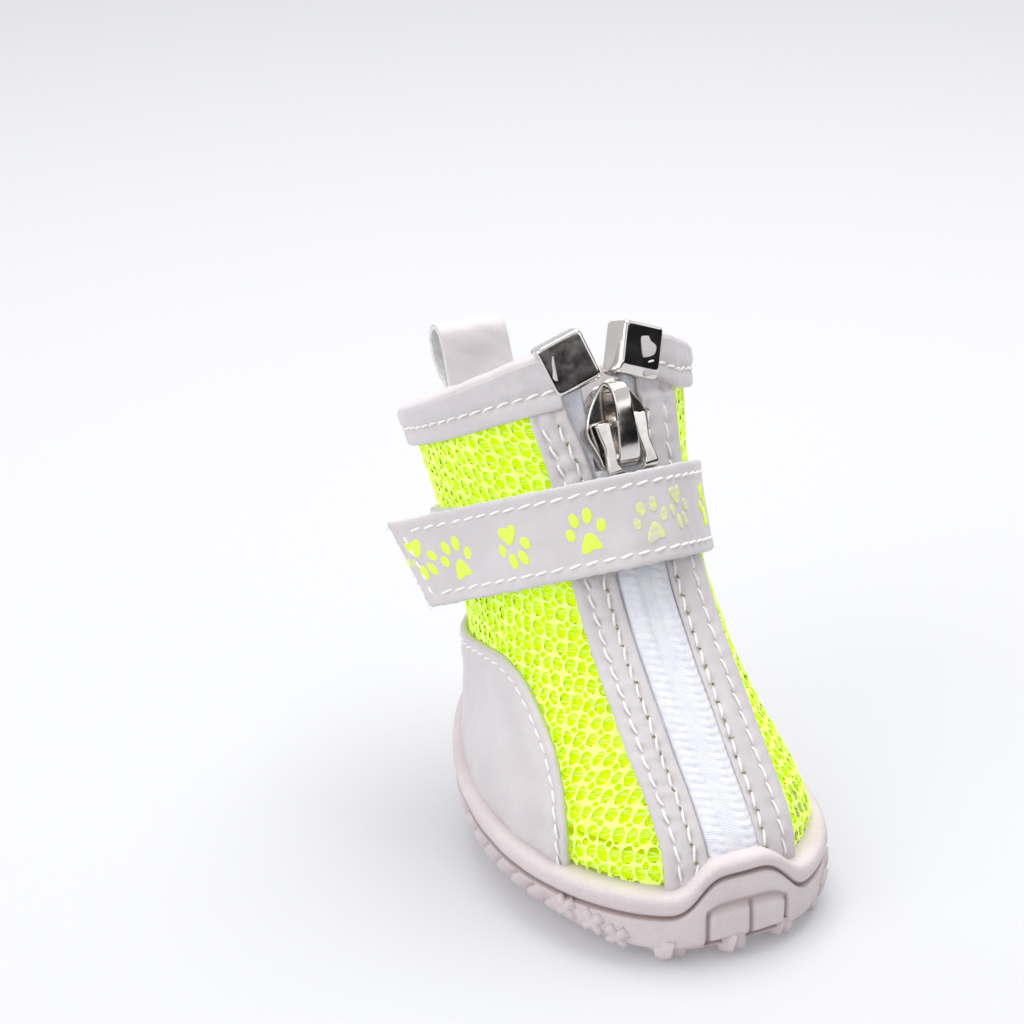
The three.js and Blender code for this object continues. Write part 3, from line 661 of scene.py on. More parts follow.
def make_sole():
    """A cup: tread, wall, bead and inside, in rings from the middle of the tread inwards."""
    raw = np.linspace(0, 2 * np.pi, 4001)
    density = 1 + 1.3 * np.exp(-(turn_from_toe(raw) / 0.42) ** 4)
    filled = np.concatenate([[0], np.cumsum((density[1:] + density[:-1]) / 2)])
    angle = np.interp(np.linspace(0, filled[-1], 541)[:-1], filled, raw)
    x, y = sole_outline(angle, 1.0)
    steps = np.hypot(np.diff(x, append=x[0]), np.diff(y, append=y[0]))
    run = np.concatenate([[0], np.cumsum(steps)[:-1]])
    run = np.where(run > steps.sum() / 2, run - steps.sum(), run)
    rim, bead = rim_height(angle), bead_height(angle)
    # painted_shades: painted shade kept as the sole's depth attribute, darkest in the tread's grooves, the
    # wall's blocks, ribs and creases, and the groove under the bead
    rings, painted_shades = [], []

    def ring(inset, height, shade, dent=0.0):
        leant = np.clip((height - SOLE["lean_from"]) / (SOLE["toe_top"] - SOLE["lean_from"]), 0, 1)
        px, py = sole_outline(angle, inset + dent + SOLE["toe_lean"] * toe_peak(angle) * leant)
        rings.append(np.stack([px, py, np.broadcast_to(height, px.shape)], axis=-1))
        painted_shades.append(np.broadcast_to(shade, run.shape))

    for inset in np.concatenate([np.linspace(24.4, 12, 26)[:-1], np.linspace(12, 6.6, 14)]):
        px, py = sole_outline(angle, inset)
        cut = tread_relief(px, py)
        ring(inset, SOLE["tread"] + spring(py) + TREAD_DEPTH * cut * smooth(inset, 6.5, 8), 0.8 * cut)
    for at in np.linspace(0, len(WALL_ROWS) - 1, 56):
        inset, up = wall_row(at, angle)
        blocks, ribs, crease = wall_relief(run, up, angle)
        shade = np.clip(1.6 * blocks + 1.2 * crease + 0.6 * ribs, 0, 1)
        ring(inset, wall_height(inset, up, angle), shade, blocks + ribs + crease)
    for below, inset, shade in BEAD_GROOVE:
        ring(inset, rim - bead - below, shade)
    tall = bead - 0.5
    for turn in np.radians(np.linspace(-78, 90, 20)):
        ring(1.75 - 1.85 * np.cos(turn) ** 0.55, rim - tall / 2 + tall / 2 * np.sin(turn), 0)
    outer = rings[-1]
    station = np.full_like(angle, 0.9)
    for _ in range(30):
        station = station + (rim - 0.2 - skin(station, angle, -1.0)[:, 2]) / 9.0
    inner = skin(station, angle, -1.0)
    # Painted shade down the cup's inside, growing towards the upper.
    for share in (0.35, 0.7, 1.0):
        rings.append(outer + (inner - outer) * share)
        painted_shades.append(np.full_like(run, 0.5 * share))
    rings.append(skin(0.1, angle, -1.2))
    painted_shades.append(np.zeros_like(run))
    points, faces = loft(np.array(rings)[:, ::-1])
    # The depth attribute carries the painted shade that darkens the rubber's colour.
    depth = np.concatenate([np.array(painted_shades)[:, ::-1].ravel(), [0, 0]])
    x, y, z = points.T
    points[:, :2] += 0.03 * np.stack([ripple(y, z, 7, 1), ripple(x, z, 7, 2)], -1)
    add_piece("cup_sole", points, [f[:, ::-1] for f in faces], RUBBER_LOOK, "rubber", replaces=["outsole"],
              values={"depth": depth})


# The tread's crosses: a row's y, the x of its crosses on both sides, and their span.
LUG_ROWS = (
    (-34.0, (0,), 2.7), (-30.8, (0, 9.2), 2.7), (-27.4, (0, 9.2), 2.7), (-20.8, (7.6, 14.6), 4.0),
    (-15.2, (0, 8.6, 16.0), 4.0), (-8.6, (15.6,), 4.0), (-2.2, (7.4, 14.4), 4.0), (4.0, (6.4, 12.8), 4.0),
    (13.4, (4.0, 12.0), 4.0), (20.0, (3.8, 10.0), 4.0),
)
WALL_LUGS = {"turns": (0.72, 0.86, 1.02), "rows": (5.9, 6.6, 6.9), "span": 3.4}
TOE_LUGS = ((-0.43, 4.4), (-0.05, 3.8), (0.27, 3.6), (0.60, 3.6))     # angle from the toe, span


def lug_cross(span, width=1.15, height=0.98, root=0.5):
    """A cross of two bars with sloping sides and soft tops, standing on z = 0 downwards."""
    rings = []
    for end, grow in ((-1, 0.0), (-0.96, 0.8), (-0.5, 1), (0, 1.04), (0.5, 1), (0.96, 0.8), (1, 0.0)):
        half_top = width * (0.30 + 0.08 * grow)
        profile = [(-width * 0.62, root), (-half_top, -height * grow), (0, -height * grow - 0.02 * grow),
                   (half_top, -height * grow), (width * 0.62, root)]
        rings.append([(end * span * 0.62, a, b) for a, b in profile])
    return [loft(turned(np.array(rings), math.radians(turn))) for turn in (45, -45)]


def make_lugs():
    parts = []
    for y, xs, span in LUG_ROWS:
        for x in sorted({side * x for x in xs for side in (-1, 1)}):
            for points, faces in lug_cross(span):
                moved = turned(points, rng.uniform(-0.12, 0.12)) + (x, y, 0)
                lift = spring(moved[:, 1])
                moved[:, 2] = np.maximum(moved[:, 2] + (SOLE["tread"] + lift), lift)
                parts.append((moved, faces))
    for angle, span in TOE_LUGS:
        x, y = sole_outline(np.array(angle), 2.8)
        for points, faces in lug_cross(span, 2.9, 0.75, 2.4):
            parts.append((points + (x, y, SOLE["tread"] + spring(y)), faces))
    for side in (-1, 1):
        for turn, row in zip(WALL_LUGS["turns"], WALL_LUGS["rows"]):
            place = wall_place(row, side * turn)
            ahead = unit(wall_place(row, side * turn + 0.02) - wall_place(row, side * turn - 0.02))
            rise = unit(wall_place(row + 0.2, side * turn) - wall_place(row - 0.2, side * turn))
            out = unit(np.cross(ahead, rise))
            out = out * np.sign(out @ (place * (1, 1, 0)))
            basis = np.stack([ahead, np.cross(-out, ahead), -out], axis=0)
            for points, faces in lug_cross(WALL_LUGS["span"], 1.5, 0.45):
                parts.append((points @ basis + place, faces))
    points, faces = join(parts)
    add_piece("tread_lugs", points, faces, RUBBER_LOOK, "rubber", values={"depth": np.zeros(len(points))})


make_sole()
make_lugs()


# ---------------------------------------------------------------- upper and net
def run_along(grid, axis):
    """Distance run along an axis of a grid of points, from 0 at its start."""
    run = np.cumsum(np.linalg.norm(np.diff(grid, axis=axis), axis=-1), axis)
    return np.insert(run, 0, 0, axis=axis)


def knit_values(rise, around):
    """What a knit or weave needs at the points of a sheet: its distances up and round."""
    return {"rise": np.tile(rise.ravel(), 2), "round": np.tile(around.ravel(), 2)}


def shell(name, low, high, outer, inner, look, slot, half, replaces=()):
    """A C-shaped layer of the upper between two distances from its face, open at the front."""
    rows, columns = 50, 124
    station = np.linspace(low, high, rows)
    start = np.where(station > 1.75, front_angle(half, station), 0.02)
    share = np.linspace(0, 1, columns)
    angle = start[:, None] + share[None, :] * (2 * np.pi - 2 * start[:, None])
    outside, inside = (skin(station[:, None], angle, off) for off in (outer, inner))
    values = knit_values(run_along(outside, 0), run_along(outside, 1))
    add_piece(name, *sheet(outside, inside), look, slot, replaces=replaces, values=values)


# The net in mm: pitch, half sizes of its big and small holes, and the station where it ends.
NET = {"wide": 2.0, "tall": 2.8, "hole": (0.76, 1.12), "small": (0.42, 0.40), "top": 6.62}
CELL_EDGE = 0.915             # how far up a big cell's corners stand, in half pitches
# Rings of a cell from its outline, 0, to its hole, 1, and their heights off the upper's face.
NET_RINGS = ((0.0, 0.02), (0.5, 0.0), (0.84, -0.10), (1.0, -0.32), (0.86, -0.66))


def split_edges(corners, parts):
    """A closed outline whose edges are each split into a number of parts."""
    points = []
    for k, count in enumerate(parts):
        a, b = np.array(corners[k]), np.array(corners[(k + 1) % len(corners)])
        points += [a + (b - a) * j / count for j in range(count)]
    return np.array(points)


def net_cells():
    """The kinds of cell: columns, rows, outline and hole in half pitches, share of depth."""
    big = split_edges([(1, -CELL_EDGE), (1, 0.0711), (0.2282, CELL_EDGE),
                       (-1, CELL_EDGE), (-1, -0.0711), (-0.2282, -CELL_EDGE)], (2, 3, 3, 2, 3, 3))
    small = split_edges([(0.7718, 0), (0, 0.8439), (-0.7718, 0), (0, -0.8439)], (3, 3, 3, 3))
    mirrored = (big * (-1, 1))[::-1]
    columns, rows = (a.ravel() for a in np.meshgrid(np.arange(0, 48), np.arange(-26, 34), indexing="ij"))
    even = (columns + rows) % 2 == 0

    def kind(use, shift, outline, squash, size, power, deep):
        turn = np.arctan2(outline[:, 1] / squash, outline[:, 0])
        hole = np.stack([size[0] * signed_power(np.cos(turn), power) / (NET["wide"] / 2),
                         size[1] * signed_power(np.sin(turn), power) / (NET["tall"] / 2) * CELL_EDGE], -1)
        return columns[use] + shift, rows[use] + shift, outline, hole, deep

    return (kind(even, 0.0, big, CELL_EDGE, NET["hole"], 0.9, 1.0),
            kind(~even, 0.0, mirrored, CELL_EDGE, NET["hole"], 0.9, 1.0),
            kind(even, 0.5, small, 1.0, NET["small"], 1.0, 0.7))


class Patch:
    """One side of the upper rolled out flat: across in mm from the back, up in mm from a station."""

    ROWS, COLUMNS, LEVEL_ROW = 140, 240, 70

    def __init__(self, side):
        self.side = side
        self.stations = np.linspace(0.15, 6.8, self.ROWS)
        self.angles = np.linspace(0, np.pi - 0.15, self.COLUMNS)
        grid = skin(self.stations[:, None], np.pi - side * self.angles[None, :])
        self.across = run_along(grid, 1)
        self.up = run_along(grid, 0)
        level = self.up[self.LEVEL_ROW]
        self.up = self.up - (level - level[int(0.42 * self.COLUMNS)])

    def place(self, across, up):
        """Station and angle of places given by their distances, and whether they are on the patch."""
        last_row, last_column = self.ROWS - 1, self.COLUMNS - 1
        row = np.full(across.shape, 70.0)
        column = np.full(across.shape, 100.0)
        for _ in range(14):
            i = np.clip(row.astype(int), 0, last_row - 1)
            j = np.clip(column.astype(int), 0, last_column - 1)
            u, v = row - i, column - j

            def at(table):
                return ((1 - u) * (1 - v) * table[i, j] + (1 - u) * v * table[i, j + 1]
                        + u * (1 - v) * table[i + 1, j] + u * v * table[i + 1, j + 1])

            slope_column = self.across[i, j + 1] - self.across[i, j]
            slope_row = self.up[i + 1, j] - self.up[i, j]
            column = np.clip(column + 0.9 * (across - at(self.across)) / slope_column, 0, last_column - 0.01)
            row = np.clip(row + 0.9 * (up - at(self.up)) / slope_row, 0, last_row - 0.01)
        station = np.interp(row, np.arange(self.ROWS), self.stations)
        angle = np.pi - self.side * np.interp(column, np.arange(self.COLUMNS), self.angles)
        return station, angle, (row > 0.5) & (row < last_row - 1) & (column < last_column - 1)


def under_counter(spot, side, margin):
    """Whether places lie under the heel counter, more than a margin below its edge."""
    y = spot[..., 1] - COUNTER_BACK[side] * smooth(40 - spot[..., 1], 0, 30)
    return (y > -19) & (spot[..., 2] < np.interp(y, *COUNTER_EDGE.T) - margin)


def in_sight(spot, side, below_rim, under_edge):
    """Whether places of the upper are above the sole's rim and the counter, give or take a little."""
    return (spot[..., 2] > rim_height(sole_angle(spot)) - below_rim) & ~under_counter(spot, side, under_edge)


def make_net(name, side, patch):
    """The open net: every cell a dished ring round its hole, with neighbours sharing their edges."""
    local = np.random.default_rng(11 + side)
    across, up, height, depth, faces = [], [], [], [], []
    start = 0
    for columns, rows, outline, hole, deep in net_cells():
        shape = (len(columns), len(NET_RINGS), len(outline))
        grow = local.uniform(0.88, 1.1, (len(columns), 1, 1))
        nudge = local.normal(0, 0.03, (len(columns), 1, 2))
        centre = np.stack([columns, rows], -1)[:, None, :]
        block = np.stack([
            centre + ((1 - share) * outline[None] + share * (hole[None] * grow + nudge))
            * (0.5, 0.5 / CELL_EDGE) for share, _ in NET_RINGS], 1)
        across.append(block[..., 0].ravel() * NET["wide"])
        up.append(block[..., 1].ravel() * NET["tall"])
        levels = np.array([level * (deep if level < 0 else 1) for _, level in NET_RINGS])
        # shades: painted shade per ring, kept as the depth attribute that darkens the net deeper towards its
        # holes.
        shades = np.array([share if level > -0.5 else 1.2 for share, level in NET_RINGS])
        height.append(np.broadcast_to(levels[:, None], shape).ravel())
        depth.append(np.broadcast_to(shades[:, None], shape).ravel())
        base = start + np.arange(shape[0])[:, None, None] * shape[1] * shape[2]
        faces.append((grid_faces(*shape[1:], wrap=True)[None] + base).reshape(-1, 4))
        start += math.prod(shape)
    across, up, height, depth, faces = (np.concatenate(a) for a in (across, up, height, depth, faces))
    warp_across = 0.19 * ripple(across, up, 4.2, 21 + side) + 0.10 * ripple(across, up, 11.0, 22)
    warp_up = 0.20 * ripple(across, up, 3.6, 23 + side) + 0.25 * ripple(across, up, 13.0, 24)
    puff = 0.10 * ripple(across, up, 3.2, 25) + 0.10 * ripple(across, up, 14.0, 26)
    station, angle, known = patch.place(across + warp_across, up + warp_up)
    spot = skin(station, angle)
    x, front = np.abs(spot[:, 0]), np.cos(angle) > 0
    under_placket = (x < PLACKET["outer"][side] - 0.6 + 0.5 * spread(station, side)) & (station > 1.15)
    under_foot = (x < 9.6) & (station <= 1.15) & (station > 1.02)
    keep = known & (station < NET["top"]) & ~(front & (under_placket | under_foot))
    keep &= in_sight(spot, side, 2.4, 3.0)
    faces = faces[keep[faces].all(-1)]
    bulge = 2.0 * bell(station - 1.1, 0.9) * bell(angle - 1.05, 0.4) if side > 0 else 0.0
    points = skin(station, angle, height - 0.02 + puff + bulge)
    keys = np.round(np.stack([across / 0.02, up / 0.02], -1)).astype(np.int64)
    keys = keys[:, 0] * 1000003 + keys[:, 1]
    _, first, inverse = np.unique(keys, return_index=True, return_inverse=True)
    used, faces_now = np.unique(inverse[faces], return_inverse=True)
    faces = faces_now.reshape(faces.shape)
    if side < 0:
        faces = faces[:, ::-1]
    order = first[used]
    add_piece(name, points[order], [faces], NET_LOOK, "mesh", values={"depth": depth[order]})


def make_threads(name, side, patch):
    """Thin cords lying across the big holes behind the net."""
    local = np.random.default_rng(31 + side)
    columns, rows = (a.ravel() for a in np.meshgrid(np.arange(0, 48), np.arange(-26, 34), indexing="ij"))
    lines = []
    for _ in range(3):
        slope = local.normal(0, 0.22, len(columns))
        level = local.uniform(-0.75, 0.75, len(columns))
        t = np.linspace(-1, 1, 5)
        across = columns[:, None] * NET["wide"] + t[None] * 0.95
        up = rows[:, None] * NET["tall"] + level[:, None] + t[None] * slope[:, None]
        lines.append(np.stack([across, up], -1))
    lines = np.concatenate(lines)
    station, angle, known = patch.place(lines[..., 0], lines[..., 1])
    spot = skin(station, angle)
    under_placket = np.abs(spot[..., 0]) < PLACKET["outer"][side] - 0.4
    under_placket &= (station > 1.0) & (np.cos(angle) > 0)
    keep = known & (station < NET["top"] - 0.1) & ~under_placket & in_sight(spot, side, 1.5, 2.0)
    keep = keep.all(-1)
    sink = local.uniform(-0.8, -0.5, (keep.sum(), 1))
    station, angle = station[keep], angle[keep]
    points, faces = tubes(skin(station, angle, sink), outward(station, angle), 0.085, sides=4)
    add_piece(name, points, faces, NET_LOOK, "mesh", values={"depth": np.full(len(points), 0.35)})


def make_upper():
    shell("upper_lining", 0.15, 6.72, -1.45, -1.98, LINING_LOOK, "lining", 6.6, ["upper"])
    shell("mesh_ground", 0.3, 6.6, -0.85, -1.40, GROUND_LOOK, "mesh", 6.9)
    for side, word in SIDES:
        patch = Patch(side)
        make_net("net_" + word, side, patch)
        make_threads("net_threads_" + word, side, patch)
    station = np.linspace(0, 0.43, 8)
    angle = np.linspace(0, 2 * np.pi, 161)[:-1]
    edge = np.array([0.5, 0.2, 0.06, 0, 0, 0.06, 0.2, 0.5])[:, None]
    points, faces = loft(skin(station[:, None], angle[None, :], -2.35 - edge)[::-1])
    grid = {"rise": points[:, 1], "round": points[:, 0]}
    add_piece("footbed", points, faces, LINING_LOOK, "lining", replaces=["insole"], values=grid)


make_upper()


# ---------------------------------------------------------------- sewn leather
def close_in(low, high, count, near=0.9, share=0.22):
    """Places from low to high, closer together near both ends."""
    edge = max(3, int(count * share))
    return np.concatenate([
        low + near * np.linspace(0, 1, edge)[:-1] ** 1.4,
        np.linspace(low + near, high - near, count - 2 * edge + 2)[:-1],
        high - near * np.linspace(1, 0, edge) ** 1.4,
    ])


def make_placket(side, word):
    """A strip along the zip with two rows of sewing, and lime thread ends at the inner row's holes."""
    rows = 300
    station = np.linspace(PLACKET["low"], PLACKET["top"], rows)
    middle = skin(station, front_angle(np.full(rows, side * 6.8), station))
    run = lengths(middle)
    share = (close_in(0, 7.1, 38, 0.8) / 7.1)[None, :]
    open_by = spread(station, side)[:, None]
    outer = PLACKET["outer"][side] - 0.35 * open_by
    x = PLACKET["inner"] + share * (outer - PLACKET["inner"])
    moved = open_by + 0.10 * ripple(run[:, None], 0 * x, 9.0, 41 + side)
    angle = front_angle(side * (x + moved), station[:, None])
    along = np.repeat(run[:, None], x.shape[1], axis=1)
    inner_row, outer_row = PLACKET["rows"][side]
    off = 1.25 - round_edge(x - x[:, :1], 0.5) * 1.0 - round_edge(x[:, -1:] - x, 0.75) * 1.2
    off += 0.30 * np.sin(np.pi * np.clip((x - outer_row) / (x[:, -1:] + 0.3 - outer_row), 0, 1))
    off += 0.12 * np.sin(np.pi * np.clip((x - inner_row) / (outer_row - inner_row), 0, 1))
    off += pucker(x - inner_row, along, PLACKET["pitch"], 0.1 + 0.3 * side, 0.26)
    off += pucker(x - outer_row, along, PLACKET["pitch"], 0.5 - 0.2 * side, 0.26)
    between = smooth(x - inner_row, -0.6, 0.3) * (1 - smooth(x - outer_row, 0, 0.9))
    off += between * 0.09 * ripple(x * 0.8, along, 2.4, 43 + side)
    off += between * 0.07 * ripple(x, along * 0.6, 5.0, 45 + side)
    off += 0.04 * ripple(x, along, 2.2, 47 + side) * (1 - between)
    off = off - 0.55 * smooth(station, 6.50, 6.56)[:, None]
    grid_station = np.repeat(station[:, None], x.shape[1], axis=1)
    outside = skin(grid_station, angle, off)
    inside = skin(grid_station, angle, np.minimum(0.28, off - 0.1))
    if side < 0:
        outside, inside = outside[:, ::-1], inside[:, ::-1]
    points, faces = sheet(outside, inside)
    add_piece("placket_leather_" + word, points, faces, LEATHER_LOOK, "leather", replaces=["placket_" + word])
    sewn, tufts = [], []
    for k, row in enumerate((inner_row, outer_row)):
        station = np.linspace(1.25, 6.50, 700)
        wander = 0.06 * ripple(station * 12, 0 * station, 7.0, 51 + k + side)
        angle = front_angle(side * (row + wander + (0.85 if k else 1.0) * spread(station, side)), station)
        path = skin(station, angle, 1.22)
        slant = 0.5 if k else -0.5
        sewn.append(stitches(path, outward(station, angle), PLACKET["pitch"], 0.90, slant, 0.10, bow=0.16))
        if k == 0:
            run_path = lengths(path)
            for hole in np.arange(0.36, run_path[-1], PLACKET["pitch"]):
                place = np.interp(hole, run_path, station)
                local_angle = front_angle(side * (row + spread(place, side)), np.array(place))
                base = skin(place, local_angle, 1.05)
                out = outward(place, local_angle)
                scatter = rng.normal(0, 0.13, (5, 3))
                t = np.linspace(0, 1, 4)[None, :, None]
                lines = base + scatter[:, None] * (0.5 + t) + out * (0.05 + 0.22 * np.sin(np.pi * t * 0.8))
                tufts.append(tubes(lines, np.broadcast_to(out, lines.shape), 0.10, sides=4))
    add_piece("placket_stitches_" + word, *join(sewn), THREAD_LOOK, "leather")
    add_piece("placket_thread_ends_" + word, *join(tufts), LIME_THREAD_LOOK, "leather")


def counter_edge(back):
    """Angle and station of the heel counter's upper edge, front to back, moved back at its front."""
    front = np.linspace(-21.3, -12.2, 60)
    z = np.interp(front, *COUNTER_EDGE.T)
    front = front + back
    for _ in range(2):
        z = np.convolve(np.pad(z, 2, mode="edge"), np.ones(5) / 5, "valid")
    station, angle = np.full(front.shape, 1.6), np.full(front.shape, 1.15)
    step = 1e-3
    for _ in range(30):
        here = skin(station, angle, 0.8)
        by_station = (skin(station + step, angle, 0.8) - here) / step
        by_angle = (skin(station, angle + step, 0.8) - here) / step
        miss_y, miss_z = front - here[:, 1], z - here[:, 2]
        det = by_station[:, 1] * by_angle[:, 2] - by_station[:, 2] * by_angle[:, 1]
        station = station + 0.8 * (miss_y * by_angle[:, 2] - miss_z * by_angle[:, 1]) / det
        angle = angle + 0.8 * (by_station[:, 1] * miss_z - by_station[:, 2] * miss_y) / det
    rest = np.linspace(angle[-1], np.pi, 120)[1:]
    low, high = np.full(rest.shape, 0.5), np.full(rest.shape, 6.0)
    for _ in range(40):
        middle = (low + high) / 2
        spot = skin(middle, rest, 0.8)
        moved = back * smooth(40 - spot[:, 1], 0, 30)
        above = spot[:, 2] > np.interp(spot[:, 1] - moved, *COUNTER_EDGE.T)
        low, high = np.where(above, low, middle), np.where(above, middle, high)
    angle, station = np.append(angle, rest), np.append(station, low)
    for _ in range(6):
        angle[1:-1] = (angle[:-2] + 2 * angle[1:-1] + angle[2:]) / 4
        station[1:-1] = (station[:-2] + 2 * station[1:-1] + station[2:]) / 4
    return angle, station


def make_counter():
    angle, station = counter_edge(COUNTER_BACK[1])
    left_angle, left_station = counter_edge(COUNTER_BACK[-1])
    angle = np.concatenate([angle, 2 * np.pi - left_angle[-2::-1]])
    station = np.concatenate([station, left_station[-2::-1]])
    run = lengths(skin(station, angle, 1))
    even = np.linspace(0, run[-1], 310)
    angle, station = np.interp(even, run, angle), np.interp(even, run, station)
    foot_angle = np.linspace(angle[0], angle[-1], len(even))
    foot = np.minimum(np.full(len(even), 0.75), station)
    t = np.concatenate([np.linspace(0, 0.8, 22)[:-1], np.linspace(0.8, 1, 34)])[:, None]
    grid_angle = foot_angle + t * (angle - foot_angle)
    grid_station = foot + t * (station - foot)
    base = skin(grid_station, grid_angle, 1.0)
    edge_line = skin(station, angle, 1.0)
    tangent = unit(np.gradient(edge_line, axis=0))
    to_edge = base - edge_line[None]
    from_edge = np.linalg.norm(to_edge - (to_edge * tangent).sum(-1, keepdims=True) * tangent, axis=-1)
    along = np.broadcast_to(even, from_edge.shape)
    off = 1.30 - round_edge(from_edge, 0.5) * 0.9
    off += pucker(from_edge - 1.5, along, 2.5, 0.2, 0.20)
    off += 0.10 * np.sin(np.pi * np.clip(from_edge / 1.5, 0, 1))
    deep = smooth(from_edge, 2.2, 4.0)
    y, z = base[..., 1], base[..., 2]
    off += deep * (0.10 * ripple(y, z, 7.0, 61) + 0.05 * ripple(y, z, 2.6, 62))
    off += 0.22 * bell(from_edge - 3.6, 1.2)
    outside = skin(grid_station, grid_angle, off)
    inside = skin(grid_station, grid_angle, 0.25)
    add_piece("counter_leather", *sheet(outside, inside), LEATHER_LOOK, "leather", replaces=["heel_counter"])
    out = outward(station, angle)
    row = unit(np.cross(out, tangent)) * -1
    path = skin(station, angle, 1.25)
    down = skin(foot, foot_angle, 1.25) - path
    row = row * np.sign((row * down).sum(-1, keepdims=True))
    points, faces = stitches(path + row * 1.5 + out * 0.02, out, 2.5, 0.86, 0.35, 0.12, bow=0.12)
    add_piece("counter_stitches", points, faces, THREAD_LOOK, "leather")


def make_binding():
    """A strip folded over the collar's edge, laid over the plackets' ends and open at the caps."""
    tall, columns, crown = 0.46, 390, 1.35
    ends = front_angle(np.array([5.4, -7.3]), np.array([6.75, 6.75]))
    angle = np.linspace(ends[0], 2 * np.pi + ends[1], columns)
    right, front = angle < np.pi, np.cos(angle) > 0
    height = np.linalg.norm(skin(7.0, angle) - skin(6.54, angle), axis=-1)
    total = height[:, None]
    run = lengths(skin(np.full(columns, 6.7), angle, 1.3))
    x_front = np.abs(skin(6.75, angle)[:, 0])
    edges = {side: PLACKET["outer"][side] + 0.65 * spread(6.75, side) for side in (1, -1)}
    placket_edge = np.where(right, edges[1], edges[-1])
    over_placket = 0.5 * (1 - smooth(x_front - placket_edge, -0.2, 1.6)) * front

    # The strip in section: up the outer face, over the crown and down inside.
    turn = np.radians(np.linspace(0, 180, 22))
    face = np.concatenate([np.broadcast_to((0, 0.02, 0.08, 0.2, 0.4), (columns, 5)),
                           0.6 + np.linspace(0, 1, 34) * (total - crown - 0.75)], axis=1)
    rise = np.concatenate([face, total - crown + crown * np.sin(turn)[None, :],
                           np.linspace(1, 0, 12)[None, 1:] * (total - crown)], axis=1)
    thick = BINDING["proud"] + BINDING["inside"]
    over = np.append(BINDING["proud"] - thick * (1 - np.cos(turn)) / 2, np.full(11, -BINDING["inside"]))
    off = np.concatenate([BINDING["proud"] - round_edge(face, 0.5), np.broadcast_to(over, (columns, 33))], 1)
    off = off + over_placket[:, None] * np.concatenate([np.ones(39), (1 + np.cos(turn)) / 2, np.zeros(11)])

    outer = np.arange(rise.shape[1]) < face.shape[1]
    along = np.broadcast_to(run[:, None], rise.shape)
    off += outer * (pucker(rise - BINDING["row"], along, BINDING["pitch"], 0.0, 0.24)
                    + 0.10 * np.sin(np.pi * np.clip(rise / BINDING["row"], 0, 1)))
    waves = 0.07 * ripple(along, rise, 5.0, 71) + 0.05 * ripple(along, rise, 2.4, 72)
    off += outer * smooth(rise, 2.9, 4.2) * (0.18 + waves)
    rise = rise + 0.10 * ripple(along, 0 * rise, 8.0, 73) * smooth(rise, 5, 8)
    off = np.concatenate([off, np.linspace(-BINDING["inside"], 0.1, 6)[None, 1:-1].repeat(columns, 0)], 1)
    rise = np.concatenate([rise, np.zeros((columns, 4))], 1)

    # The collar drops towards the back, and its lower edge rises at the right front.
    from_front = np.where(right, angle, 2 * np.pi - angle)
    lowered = np.where(right, smooth(from_front, 1.7, np.pi), (1 - np.cos(from_front)) / 2)
    raised = 0.11 * (1 - smooth(x_front, 6.5, 13)) * right * front
    lowest = BINDING["low"] - BINDING["drop"] * lowered + raised
    dip = 1 - np.where(right, 0.17, 0.06) * np.abs(np.sin(angle)) ** 1.5
    tall = (tall - raised)[:, None]
    station = lowest[:, None] + tall * rise / total * (1 - (1 - dip[:, None]) * smooth(rise, 2.5, 6.0))
    points, faces = loft(skin(station, angle[:, None], off))
    add_piece("collar_leather", points, faces, LEATHER_LOOK, "leather", replaces=["collar_binding"])
    station = lowest + tall[:, 0] * BINDING["row"] / height
    path = skin(station, angle, 1.30 + over_placket)
    sewn = stitches(path, outward(station, angle), BINDING["pitch"], 0.86, 0.35, 0.10, bow=0.10)
    add_piece("collar_stitches", *sewn, THREAD_LOOK, "leather")


for one_side in SIDES:
    make_placket(*one_side)
make_counter()
make_binding()


# ---------------------------------------------------------------- zip
def strip(name, stations, x, off, under, look, slot, replaces, side=1):
    """A closed strip up the boot from grids of x and of distance off the upper's face."""
    grid_station = np.broadcast_to(stations[:, None], x.shape)
    angle = front_angle(x, grid_station)
    outside, inside = (skin(grid_station, angle, grid)[:, ::side] for grid in (off, under))
    rise = np.repeat(lengths(skin(stations, 0.0)), x.shape[1])
    add_piece(name, *sheet(outside, inside), look, slot, replaces=replaces, values=knit_values(rise, x))


